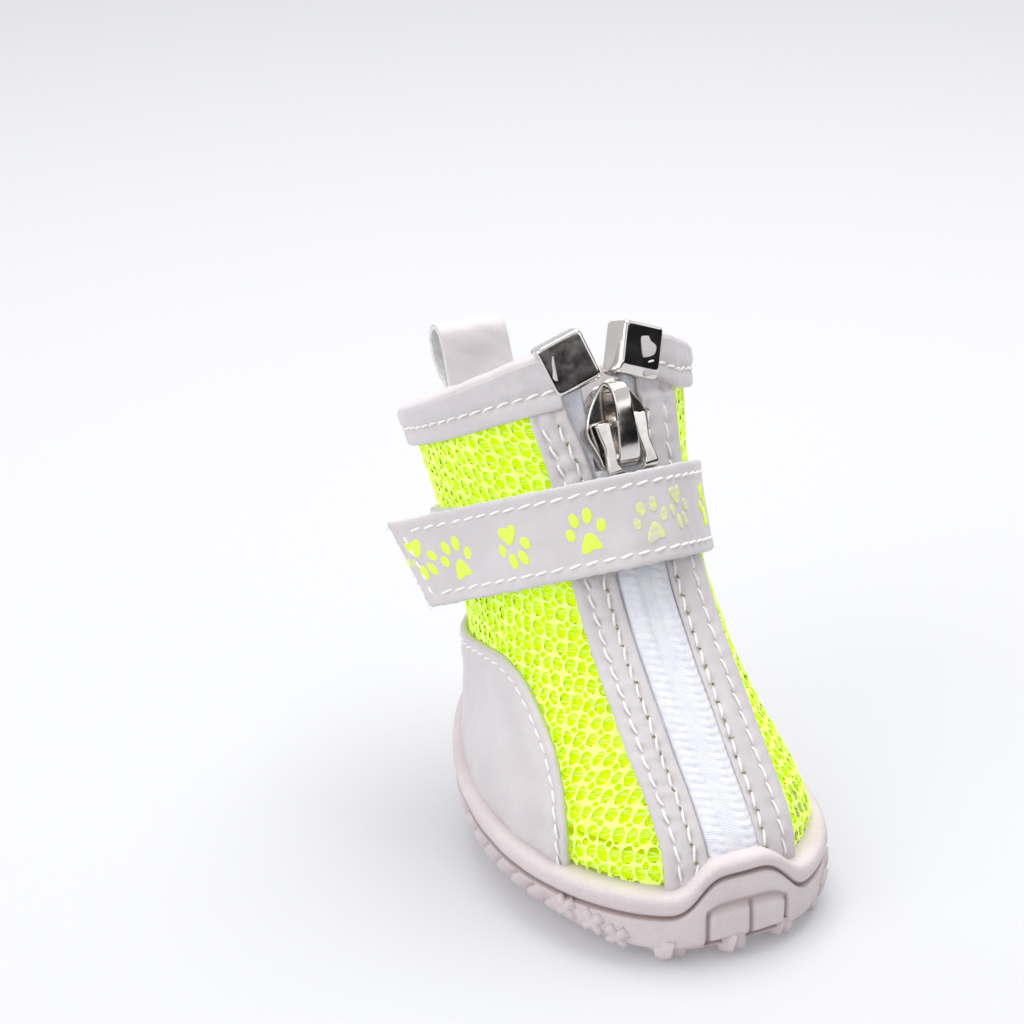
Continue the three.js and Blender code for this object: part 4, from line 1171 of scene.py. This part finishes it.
def make_zip():
    """The closed zip's coil as relief on one band, and the tapes beside it."""
    stations = np.linspace(ZIP["low"], ZIP["top"], 470)
    run = lengths(skin(stations, 0.0))[:, None]
    u = (close_in(0, 2, 42, 0.22) - 1)[None, :]
    teeth = 2 * np.pi * run / ZIP["pitch"]
    scallop = 0.22 * np.cos(teeth) * (u > 0) + 0.3 * (u < 0)
    x = u * (ZIP["half"] + scallop) + 0.06 * ripple(run, 0 * u, 9.0, 81)
    edge = ZIP["half"] - np.abs(x)
    off = 0.85 - 0.9 * round_edge(edge, 0.8)
    for side in (-1, 1):
        column = bell(x - side * 1.95, 0.75)
        lean = teeth + side * 2.2 * (np.abs(x) - 1.95)
        off += column * (0.16 + 0.20 * np.abs(np.cos(lean / 2)))
        off += 0.12 * bell(x - side * 3.2, 0.3) * (0.5 + 0.5 * np.cos(teeth + 1.2 * side))
        off -= 0.10 * bell(x - side * 0.95, 0.22)
    off += 0.02 * np.cos(2 * np.pi * run / 0.36) * (1 - bell(np.abs(x) - 1.95, 0.9))
    off += 0.02 * ripple(x, run, 1.4, 82)
    off += 0.10 * ripple(0 * x, run, 12.0, 83)
    under = np.broadcast_to(np.minimum(-0.6, off - 0.3), x.shape)
    strip("zip_band", stations, x, off, under, WHITE_LOOK, "zip_textile", ["zip_chain"])
    for side, word in SIDES:
        stations = np.linspace(ZIP["low"], 6.93, 260)
        run = lengths(skin(stations, 0.0))[:, None]
        inner = 3.3 - 1.0 * smooth(stations, 6.05, 6.3)[:, None] + 0.55 * spread(stations, side)[:, None]
        share = close_in(0, 1, 14, 0.2)[None, :]
        x = inner + share * (6.8 + 0.9 * spread(stations, side)[:, None] - inner)
        coil = 0.5 + 0.5 * np.cos(2 * np.pi * run / 1.2)
        off = -0.35 + bell(x - inner - 0.35, 0.4) * (0.35 + 0.3 * coil) + 0 * x
        off += 0.02 * np.cos(2 * np.pi * run / 0.45)
        under = np.full(x.shape, -1.35)
        strip("zip_edge_" + word, stations, side * x, off, under, WHITE_LOOK, "zip_textile",
              ["zip_tape_" + word], side)


# Half the slider's outline from its foot to its nose: y and half the width.
SHIELD = np.array([
    (-6.6, 3.3), (-5.0, 3.6), (-3.4, 4.2), (-1.8, 4.95), (-0.4, 5.1), (1.0, 4.9), (2.6, 4.2),
    (4.2, 3.2), (5.5, 2.2), (6.2, 1.35), (6.5, 0.8),
])


def shield_outline(inset, count=120):
    """The slider's outline drawn in by an inset, anticlockwise from its foot."""
    t = np.linspace(0, 1, 200)
    y = np.interp(t, np.linspace(0, 1, len(SHIELD)), SHIELD[:, 0])
    half = np.interp(t, np.linspace(0, 1, len(SHIELD)), SHIELD[:, 1])
    for _ in range(12):
        half[1:-1] = (half[:-2] + 2 * half[1:-1] + half[2:]) / 4
    right = np.stack([half, y], -1)
    line = np.concatenate([[[0, y[0]]], right, [[0, y[-1] + 0.12]], (right * (-1, 1))[::-1], [[0, y[0]]]])
    run = np.concatenate([[0], np.cumsum(np.hypot(*np.diff(line, axis=0).T))])
    at = np.linspace(0, run[-1], count + 1)[:-1]
    line = np.stack([np.interp(at, run, line[:, k]) for k in (0, 1)], -1)
    for _ in range(3):
        line = (np.roll(line, 1, 0) + 2 * line + np.roll(line, -1, 0)) / 4
    ahead = unit(np.roll(line, -1, 0) - np.roll(line, 1, 0))
    return line + inset * np.stack([-ahead[:, 1], ahead[:, 0]], -1)


def make_slider(axes):
    """The slider: a shield-shaped front plate, a back plate, the post between, and the bridge."""
    parts = []
    edge = shield_outline(0)
    lip = smooth(-edge[:, 1], -0.6, 1.2) * smooth(np.abs(edge[:, 0]), 2.6, 3.4)
    foot = 1.1 - 3.0 * lip

    def ring(inset, height):
        return np.column_stack([shield_outline(inset), np.broadcast_to(height, len(edge))])

    rings = [ring(0.85, foot), ring(0.35, foot), ring(0.05, foot + 0.25),
             ring(0.0, (foot + 1.5) / 2), ring(0, 1.60),
             ring(0.03, 1.75), ring(0.11, 1.87), ring(0.22, 1.93), ring(0.28, 1.935), ring(0.40, 1.935)]
    for share in (0.78, 0.6, 0.4, 0.2):
        scaled = shield_outline(0.6) * share
        rings.append(np.column_stack([scaled, 1.935 + 0.02 * (1 - share**2) * np.ones(len(edge))]))
    parts.append(loft(np.array(rings)))
    back = [np.column_stack([shield_outline(i) * 0.84, np.full(len(edge), z)])
            for i, z in ((0.4, -3.2), (0.1, -3.05), (0.1, -2.6), (0.4, -2.5))]
    parts.append(loft(np.array(back)))
    square = np.array([(-1.4, 1.6), (1.4, 1.6), (1.4, 4.6), (-1.4, 4.6)])
    parts.append(loft(np.array([np.column_stack([square, np.full(4, z)]) for z in (-2.6, 1.5)])))
    turn = np.linspace(0.0, np.pi, 56)
    middle_y = 5.75 * signed_power(np.cos(turn), 2 / 3.5)
    middle_z = 1.55 + 3.1 * np.abs(np.sin(turn)) ** (2 / 3.5)
    path = np.column_stack([0 * turn, middle_y, middle_z])
    ahead = unit(np.gradient(path, axis=0))
    out = np.cross(ahead, (1.0, 0, 0))
    out = out * np.sign((out * (path - (0, 0, 0.5))).sum(-1))[:, None]
    half = 1.34 + 0.30 * smooth(-middle_y, -3, 5.5)
    corner = np.radians(np.linspace(0, 360, 33)[:-1])
    across = signed_power(np.cos(corner), 0.30)
    deep = signed_power(np.sin(corner), 0.38) * 0.52
    rings = path[:, None] + (half[:, None] * across)[..., None] * (1.0, 0, 0)
    rings = rings + deep[None, :, None] * out[:, None]
    parts.append(loft(rings))
    points, faces = join(parts)
    add_piece("slider_metal", placed(axes, points), faces, METAL_LOOK, "nickel", replaces=["zip_slider"])


def pull_edges(y):
    """The pull's outer edge and the edge of its window at distances along it."""
    length, window, corner = PULL["length"], PULL["window"], PULL["corner"]

    def rounded(past, radius):
        return 1 - np.sqrt(np.clip(1 - (np.clip(past, 0, radius) / radius) ** 2, 0, 1))

    outer = 4.2 - 0.45 * bell(y + 3.2, 2.2) - 0.12 * smooth(-y, 8, 16)
    outer -= 0.9 * rounded(-y - length + 0.9, 0.9) + 0.5 * rounded(y - 0.35, 0.5)
    outer = outer - 1.2 * smooth(-y, 6.8, 7.9)
    inner = 2.0 - 0.15 * smooth(y, -1.5, 0.5) + 0.25 * bell(y + 5.2, 1.8)
    inner = inner * (1 - rounded(-y - (window - corner), corner))
    return outer, np.where(-y > window, -0.05, inner)


def make_pull(axes):
    """The pull tab: two arms round a window that meet in a tongue, bent in under the strap."""
    lie = turning("x", -math.atan(PULL["rise"]), (0, PULL["y"], PULL["z"]))
    frame_axes = axes @ lie @ turning("z", PULL["swing"], (0, -PULL["hang"], 0))
    length, window, corner, above = (PULL[key] for key in ("length", "window", "corner", "above"))
    y = np.concatenate([above - close_in(0, 1.6, 20, 0.3)[:12], np.linspace(-0.2, -5.5, 30),
                        np.linspace(-5.6, -7.9, 50), np.linspace(-8.2, 0.8 - length, 26),
                        -length + 0.9 * np.linspace(0.8, 0, 16) ** 1.5])
    y = np.unique(y)[::-1]
    outer, inner = pull_edges(y)
    dip = 1.3 * smooth(-y, 6.4, 9.8)
    x = inner[:, None] + close_in(0, 1, 26, 0.16)[None, :] * (outer - inner)[:, None]
    below = -y[:, None] - (window - corner)
    from_corner = np.hypot(x, np.maximum(below, 0)) - corner
    from_window = np.where(below > 0, from_corner, x - inner[:, None])
    from_end = np.minimum(above - y, y + length)[:, None]
    near = np.minimum(np.minimum(outer[:, None] - x, np.maximum(from_window, 0)), from_end)
    thick = PULL["half_thick"] - round_edge(np.maximum(near, 0), 0.22)
    parts = []
    for side in (1, -1):
        lengthways = np.broadcast_to(y[:, None], x.shape)
        top, bottom = (np.stack([side * x, lengthways, z - dip[:, None]], -1)[::-1, ::side]
                       for z in (thick, -thick))
        parts.append(sheet(top, bottom))
    line = np.linspace(-3.3, 3.3, 9)
    pin = np.column_stack([line, 0.3 + 0 * line, 0 * line])[None]
    parts.append(tubes(pin, np.broadcast_to((0, 0, 1.0), pin.shape), PULL["pin"], sides=16))
    points, faces = join(parts)
    add_piece("pull_metal", placed(frame_axes, points), faces, METAL_LOOK, "nickel", body="pull",
              replaces=["pull_tab"])


def make_caps():
    """Folded metal ends on the collar: square blocks with bevelled faces, left blank."""
    corner = np.radians(np.arange(0, 360, 6) + 45)
    square = signed_power(np.stack([np.cos(corner), np.sin(corner)], -1), 0.16)
    size = np.array([CAP["width"] / 2 + 0.15, CAP["height"] / 2 + 0.35])
    levels = ((-2.5, 0.35), (-2.35, 0.10), (-2.0, 0.0), (1.40, 0.0), (1.60, 0.04), (1.80, 0.16), (1.93, 0.34),
              (1.96, 0.42), (1.965, 0.52), (1.965, 0.8), (1.965, 2.2))
    for side, word in SIDES:
        axes = face_axes(CAP["station"], math.radians(side * CAP["angle"]))
        axes = axes @ turning("z", math.radians(-side * CAP["splay"]))
        rings = []
        for z, inset in levels:
            outline = square * (size - inset)
            sloped = (1.1 if side > 0 else 0.25) * smooth(z, 1.2, 1.95)
            sloped = sloped * smooth(-outline[:, 1], 0, size[1] - inset)
            flat = outline + np.outer(sloped, (0, 1)) - (0, 0.35)
            rings.append(np.column_stack([flat, np.full(len(corner), z)]))
        points, faces = loft(rings)
        add_piece("cap_metal_" + word, placed(axes, points), faces, METAL_LOOK, "nickel",
                  replaces=["end_cap_" + word])


# ---------------------------------------------------------------- strap and loop
# How far the strap lies off the upper: degrees wound, mm.
STRAP_LIFT = np.array([
    (-472, 2.4), (-406, 2.4), (-398, 2.6), (-390, 2.8), (-382, 3.1), (-374, 3.6), (-366, 4.45), (-352, 4.45),
    (-342, 2.8), (-334, 1.9), (-326, 1.4), (-318, 0.8), (-310, 0.5), (-270, 0.3), (-80, 0.3), (-28, 0.6),
])
HEART = np.array([
    (0, -1.75), (0.75, -0.95), (1.35, 0), (1.7, 0.9), (1.45, 1.5), (0.75, 1.6), (0.15, 1.05), (-0.6, 1.45),
    (-1.35, 1.3), (-1.65, 0.7), (-1.35, -0.2), (-0.8, -0.9),
])
PAD = np.array([
    (-1.75, -1.6), (-1.5, -0.5), (-1.0, 0.7), (-0.4, 1.45), (0.3, 1.6), (1.0, 0.95), (1.5, -0.1), (1.8, -1.3),
    (1.0, -1.35), (0.3, -1.15), (-0.5, -1.65), (-1.2, -1.75),
])
UPRIGHT = {"pad": PAD, "at": (0.3, -1.7), "toes": (
    (-2.3, -0.2, 0.75, 1.0, 15), (-1.3, 1.8, 0.75, 1.2, 8),
    (0.75, 2.2, 0.75, 1.25, -8), (2.35, 0.45, 0.7, 1.1, -15))}
INVERTED = {"pad": HEART, "at": (-0.55, 1.8), "toes": (
    (-2.1, -0.25, 0.6, 1.0, 5), (-0.7, -2.1, 0.7, 1.25, 8),
    (1.1, -1.8, 0.7, 1.25, 22), (2.0, 0.25, 0.75, 1.05, 30))}

# Prints along the strap: degrees wound, share of its width, shape, and whether worn.
PAWS = (
    (-463.4, 0.535, INVERTED, False), (-443.6, 0.472, UPRIGHT, False), (-410.5, 0.467, INVERTED, False),
    (-380.6, 0.477, UPRIGHT, False), (-358.6, 0.457, UPRIGHT, True), (-345.3, 0.533, INVERTED, True),
    (-316.9, 0.503, UPRIGHT, False),
)


def strap_point(wound, t, lift):
    """A place of the strap: degrees wound, share of its width, distance off the upper."""
    wound, t, lift = np.broadcast_arrays(*(np.asarray(a, float) for a in (wound, t, lift)))
    share = np.clip((STRAP["end"] - wound) / 50, 0, 1)
    around = np.maximum(wound, STRAP["end"])

    def on_plane(around, lift):
        low, high = np.full(around.shape, 2.5), np.full(around.shape, 7.0)
        level = STRAP["low"] + t * (STRAP["high"] - STRAP["low"])
        for _ in range(26):
            middle = (low + high) / 2
            spot = skin(middle, np.radians(around), lift)
            sloped = spot[..., 2] + STRAP["slope"] * np.minimum(spot[..., 1], STRAP["turn_y"])
            sloped = sloped + STRAP["back_slope"] * np.maximum(0, spot[..., 1] - STRAP["turn_y"])
            low, high = np.where(sloped > level, low, middle), np.where(sloped > level, middle, high)
        return skin(low, np.radians(around), lift)

    here = on_plane(around, lift)
    ahead = unit(here - on_plane(around + 1.0, lift))
    out = unit(on_plane(around, lift + 0.5) - here)
    tail = (STRAP["tail"] - STRAP["tail_cut"] * (1 - t)) * share
    lift_off = STRAP["tail_lift"] * tail * share
    return here + ahead * tail[..., None] + out * lift_off[..., None]


def strap_surface(wound, t, over):
    """A place of the strap at a height over its underside."""
    return strap_point(wound, t, np.interp(wound, *STRAP_LIFT.T) + over)


def strap_sewing(wound, t, *looks):
    """Stitches on the strap's outer face along a line of places."""
    path = strap_surface(wound, t, 1.30)
    return stitches(path, unit(strap_surface(wound, t, 1.8) - path), *looks)


def make_strap():
    """The strap: leather over a paler backing, sewn along both edges, frayed at its cut end."""
    wound = np.linspace(STRAP["start"], -472, 400)
    middle = strap_surface(wound, 0.5, 1.3)
    run = lengths(middle)
    t = close_in(0, 1, 34, 0.055)
    grid_wound = np.repeat(wound[:, None], len(t), 1)
    grid_run = np.repeat(run[:, None], len(t), 1)
    fray = 0.006 * ripple(grid_run, 0 * grid_run, 1.3, 91)
    grid_t = np.broadcast_to(t[None], grid_wound.shape) + fray * (np.abs(t - 0.5)[None] * 2) ** 8
    wide = 13.6
    across = t[None] * wide
    near = np.minimum(across, wide - across)
    end = run[-1] - grid_run
    near = np.minimum(near, end + 0.12)
    sink = 0.35 * round_edge(near, 0.45)
    row = STRAP["row"] * wide
    over = 1.30 - sink + pucker(near - row, grid_run, STRAP["pitch"], 0.2, 0.10)
    over += 0.08 * np.sin(np.pi * np.clip(near / row, 0, 1))
    over += (0.05 * ripple(grid_run, across, 6.0, 92) * smooth(near, 2, 4)
             + 0.12 * ripple(grid_run, 0 * across, 26.0, 93))
    outside = strap_surface(grid_wound, grid_t, over)
    inside = strap_surface(grid_wound, grid_t, 0.78)
    points, faces = sheet(outside[::-1], inside[::-1])
    add_piece("strap_leather", points, faces, LEATHER_LOOK, "leather", replaces=["strap"])
    ragged = 1 + 0.012 + 0.01 * ripple(grid_run, 0 * grid_run, 0.9, 94)[:, :1]
    wider = (grid_t - 0.5) * ragged + 0.5
    back_wound = STRAP["start"] + (grid_wound - STRAP["start"]) * 1.0008
    outside = strap_surface(back_wound, wider, 0.93 + 0 * over)
    inside = strap_surface(back_wound, wider, 0.0)
    points, faces = sheet(outside[::-1], inside[::-1])
    grid = {"rise": np.tile((across + 0 * grid_run)[::-1].ravel(), 2),
            "round": np.tile(grid_run[::-1].ravel(), 2)}
    add_piece("strap_backing", points, faces, RAW_EDGE_LOOK, "leather", values=grid)
    fine = np.linspace(STRAP["start"] - 3, -467, 1500)
    sewn = [strap_sewing(fine, place, STRAP["pitch"], 0.82, 0.3, 0.10)
            for place in (STRAP["row"], 1 - STRAP["row"])]
    place = np.linspace(STRAP["row"] * 0.7, 1 - STRAP["row"] * 0.7, 60)
    sewn.append(strap_sewing(-467.0, place, 2.1, 0.7, 0.3, 0.10))
    add_piece("strap_stitches", *join(sewn), THREAD_LOOK, "leather")
    fibres = []
    for _ in range(90):
        place = rng.uniform(0, 1)
        root = strap_surface(-471.6, place, rng.uniform(0.2, 1.1))
        ahead = unit(strap_surface(-472.0, place, 0.8) - strap_surface(-462.0, place, 0.8))
        tip = root + rng.normal(0, 0.25, 3) + ahead * 0.5
        bend = (root + tip) / 2 + rng.normal(0, 0.12, 3)
        fibres.append(np.array([root, bend, tip]))
    fibres = np.array(fibres)
    points, faces = tubes(fibres, np.broadcast_to((0.1, -1, 0.3), fibres.shape), 0.05, sides=4)
    add_piece("strap_frayed_end", points, faces, RAW_EDGE_LOOK, "leather",
              values={"rise": points[:, 2], "round": points[:, 0]})


def rubbed_outline(outline):
    """A hand-drawn outline with its corners cut off twice."""
    for _ in range(2):
        after = np.roll(outline, -1, 0)
        outline = np.stack([0.75 * outline + 0.25 * after, 0.25 * outline + 0.75 * after], 1).reshape(-1, 2)
    return outline


def make_paws():
    """Paw prints on the strap, each a pad and four toes a little proud of the leather."""
    shares = np.array([0.02, 0.3, 0.55, 0.78, 0.92, 1.0])
    over = np.array([1.40, 1.40, 1.40, 1.40, 1.40, 1.20])[:, None]
    turn = np.radians(np.arange(0, 360, 15))
    circle = np.stack([np.cos(turn), np.sin(turn)], -1)
    for wound, t, kind, worn in PAWS:
        along = strap_surface(wound + 1.0, t, 1.3) - strap_surface(wound - 1.0, t, 1.3)
        across = strap_surface(wound, t + 0.02, 1.3) - strap_surface(wound, t - 0.02, 1.3)
        scale_along, scale_across = np.linalg.norm(along) / 2, np.linalg.norm(across) / 0.04
        shapes = [((dx, dy), turned(circle * (rx, ry), math.radians(lean)))
                  for dx, dy, rx, ry, lean in kind["toes"]]
        shapes.append((kind["at"], rubbed_outline(kind["pad"])))
        parts = []
        for centre, outline in shapes:
            flat = np.array(centre) + outline[None] * shares[:, None, None] * 0.97
            points = strap_surface(wound + flat[..., 0] / scale_along, t + flat[..., 1] / scale_across, over)
            parts.append((points, [grid_faces(len(shares), len(outline), wrap=True)[:, ::-1]]))
        ink = WORN_INK_LOOK if worn else INK_LOOK
        add_piece(f"paw_print_{len(shapes)}_{abs(int(wound))}", *join(parts), ink, "leather")


LOOP_WIDTH = 11.5
# The loop's line seen from the side: out from the collar and up it.
LOOP_LINE = np.array([
    (0.35, -6.0), (0.35, -2.0), (0.4, 1.0), (0.5, 5.4), (1.0, 8.2), (2.4, 9.6), (4.3, 9.2), (5.3, 7.4),
    (5.2, 4.6), (4.0, 1.8), (2.3, 0.2), (1.35, -1.5), (1.3, -6.0),
])


def make_loop():
    """The pull loop: a folded strip sewn to the back of the collar, leather over its backing."""
    lean = skin(7.0, np.pi) - skin(6.54, np.pi)
    origin = skin(BINDING["top"] - BINDING["drop"], np.pi, 1.9)
    axes = turning("x", -math.atan2(lean[1], lean[2]), origin)
    run = np.concatenate([[0], np.cumsum(np.hypot(*np.diff(LOOP_LINE, axis=0).T))])
    at = np.linspace(0, run[-1], 110)
    line = np.stack([np.interp(at, run, LOOP_LINE[:, k]) for k in (0, 1)], -1)
    for _ in range(8):
        line[1:-1] = (line[:-2] + 2 * line[1:-1] + line[2:]) / 4
    path = np.column_stack([0 * at, line])
    out = np.cross((1.0, 0, 0), unit(np.gradient(path, axis=0)))
    x = close_in(-LOOP_WIDTH / 2, LOOP_WIDTH / 2, 26, 0.5)[None, :]
    near = LOOP_WIDTH / 2 - np.abs(x)
    at_grid = np.repeat(at[:, None], x.shape[1], 1)
    wave = 0.12 * ripple(at_grid, x, 9.0, 95) + 0.05 * ripple(at_grid, x, 3.0, 96)

    def layer(name, high, low, look, trim, replaces=()):
        middle = path[:, None] + np.array([1.0, 0, 0]) * (x * trim)[..., None]
        faces = [placed(axes, middle + out[:, None] * level[..., None])
                 for level in (high - 0.3 * round_edge(near, 0.3) + wave, low + wave)]
        values = knit_values(at_grid, np.broadcast_to(x * trim, at_grid.shape))
        add_piece(name, *sheet(*faces), look, "leather", replaces=replaces, values=values)

    layer("loop_leather", 0.45, -0.05, LEATHER_LOOK, 1.0, ["pull_loop"])
    layer("loop_backing", 0.10, -0.45, RAW_EDGE_LOOK, 1.006)
    sewn = []
    for level in (-2.2, -4.6):
        sewing = np.column_stack([np.linspace(-4.6, 4.6, 30), np.full(30, 1.85), np.full(30, level)])
        sewn.append(stitches(placed(axes, sewing), np.broadcast_to(axes[:3, 1], (30, 3)), 2.3, 0.7, 0.3, 0.1))
    add_piece("loop_stitches", *join(sewn), THREAD_LOOK, "leather")


slider_axes = face_axes(SLIDER_STATION, 0.0)
make_zip()
make_slider(slider_axes)
make_pull(slider_axes)
make_caps()
make_strap()
make_paws()
make_loop()


# ---------------------------------------------------------------- floor, light and camera
def make_stage():
    mesh = bpy.data.meshes.new("studio_floor")
    far = 3.0                 # metres
    mesh.from_pydata([(-far, -far, 0), (far, -far, 0), (far, far, 0), (-far, far, 0)], [], [(0, 1, 2, 3)])
    floor = bpy.data.objects.new("studio_floor", mesh)
    bpy.context.scene.collection.objects.link(floor)
    look = Look("studio_paper", 0.9, Specular_IOR_Level=0.1, Emission_Strength=0.16)
    mesh.materials.append(look.finish((0.56, 0.56, 0.58), glow=(0.97, 0.97, 1.0)))


def area_light(name, energy, size, place, aim, colour=(1, 1, 1)):
    data = bpy.data.lights.new(name, "AREA")
    data.shape = "RECTANGLE"
    data.size, data.size_y = size
    data.energy = energy
    data.color = colour
    lamp = bpy.data.objects.new(name, data)
    lamp.location = place
    lamp.rotation_euler = (Vector(aim) - Vector(place)).to_track_quat("-Z", "Y").to_euler()
    bpy.context.scene.collection.objects.link(lamp)


def make_world():
    """A bright room for the metal to mirror: a dark band low down in front, a brighter one above it."""
    world = bpy.data.worlds.new("studio")
    bpy.context.scene.world = world
    world.use_nodes = True
    nodes = Nodes(world.node_tree)
    facing = nodes.node("TexCoord").outputs["Generated"]

    def along(direction, low, high):
        dot = nodes.node("VectorMath", operation="DOT_PRODUCT")
        dot.inputs[1].default_value = Vector(direction).normalized()
        nodes.feed(dot.inputs[0], facing)
        return nodes.ramp(dot.outputs["Value"], low, high, curve="SMOOTHSTEP")

    top, panel_top = WORLD["top"], WORLD["panel_top"]
    ahead = along((0.35, -0.94, 0), -0.30, 0.05)
    band = nodes.math("MULTIPLY", along((0, 0, -1), -top - 0.015, -top + 0.015), ahead)
    panel = nodes.math("MULTIPLY", along((0, 0, 1), top + 0.01, top + 0.04),
                       along((0, 0, -1), -panel_top - 0.04, -panel_top + 0.04))
    room = nodes.ramp(band, 0, 1, WORLD["bright"], WORLD["dark"])
    total = nodes.math("MULTIPLY_ADD", nodes.math("MULTIPLY", panel, ahead), WORLD["panel"], room)
    background = world.node_tree.nodes["Background"]
    nodes.feed(background.inputs["Strength"], total)
    nodes.feed(background.inputs["Color"], (0.97, 0.98, 1.0))


def make_camera():
    """The photograph's view; place in mm, lens in mm."""
    yaw, pitch, roll = (math.radians(CAMERA[key]) for key in ("yaw", "pitch", "roll"))
    ahead = np.array([math.sin(yaw) * math.cos(pitch), math.cos(yaw) * math.cos(pitch), math.sin(pitch)])
    right = unit(np.cross(ahead, (0, 0, 1)))
    up = np.cross(right, ahead)
    x = math.cos(roll) * right + math.sin(roll) * up
    y = math.cos(roll) * up - math.sin(roll) * right
    axes = np.eye(4)
    axes[:3, 0], axes[:3, 1], axes[:3, 2] = x, y, -ahead
    axes[:3, 3] = (np.array(CAMERA["place"]) + SHIFT) * MM
    data = bpy.data.cameras.new("camera")
    data.lens, data.sensor_width = CAMERA["lens"], 36
    camera = bpy.data.objects.new("camera", data)
    camera.matrix_world = Matrix(axes.tolist())
    bpy.context.scene.collection.objects.link(camera)
    bpy.context.scene.camera = camera


# The room's strengths, and how far up the dark band and the panel above it reach.
WORLD = {"bright": 0.76, "dark": 0.012, "top": 0.30, "panel": 0.7, "panel_top": 0.48}
CAMERA = {"yaw": 25.34, "pitch": -23.08, "roll": -0.90, "place": (-188.78, -361.05, 228.45), "lens": 105.4}
make_stage()
make_world()
area_light("overhead", 3.0, (0.5, 0.5), (0.12, 0.13, 0.62), (0, 0, 0.02))
area_light("left_window", 1.7, (0.5, 0.6), (-0.65, -0.15, 0.42), (0, 0, 0.03))
make_camera()
bpy.context.scene.view_settings.view_transform = "Standard"
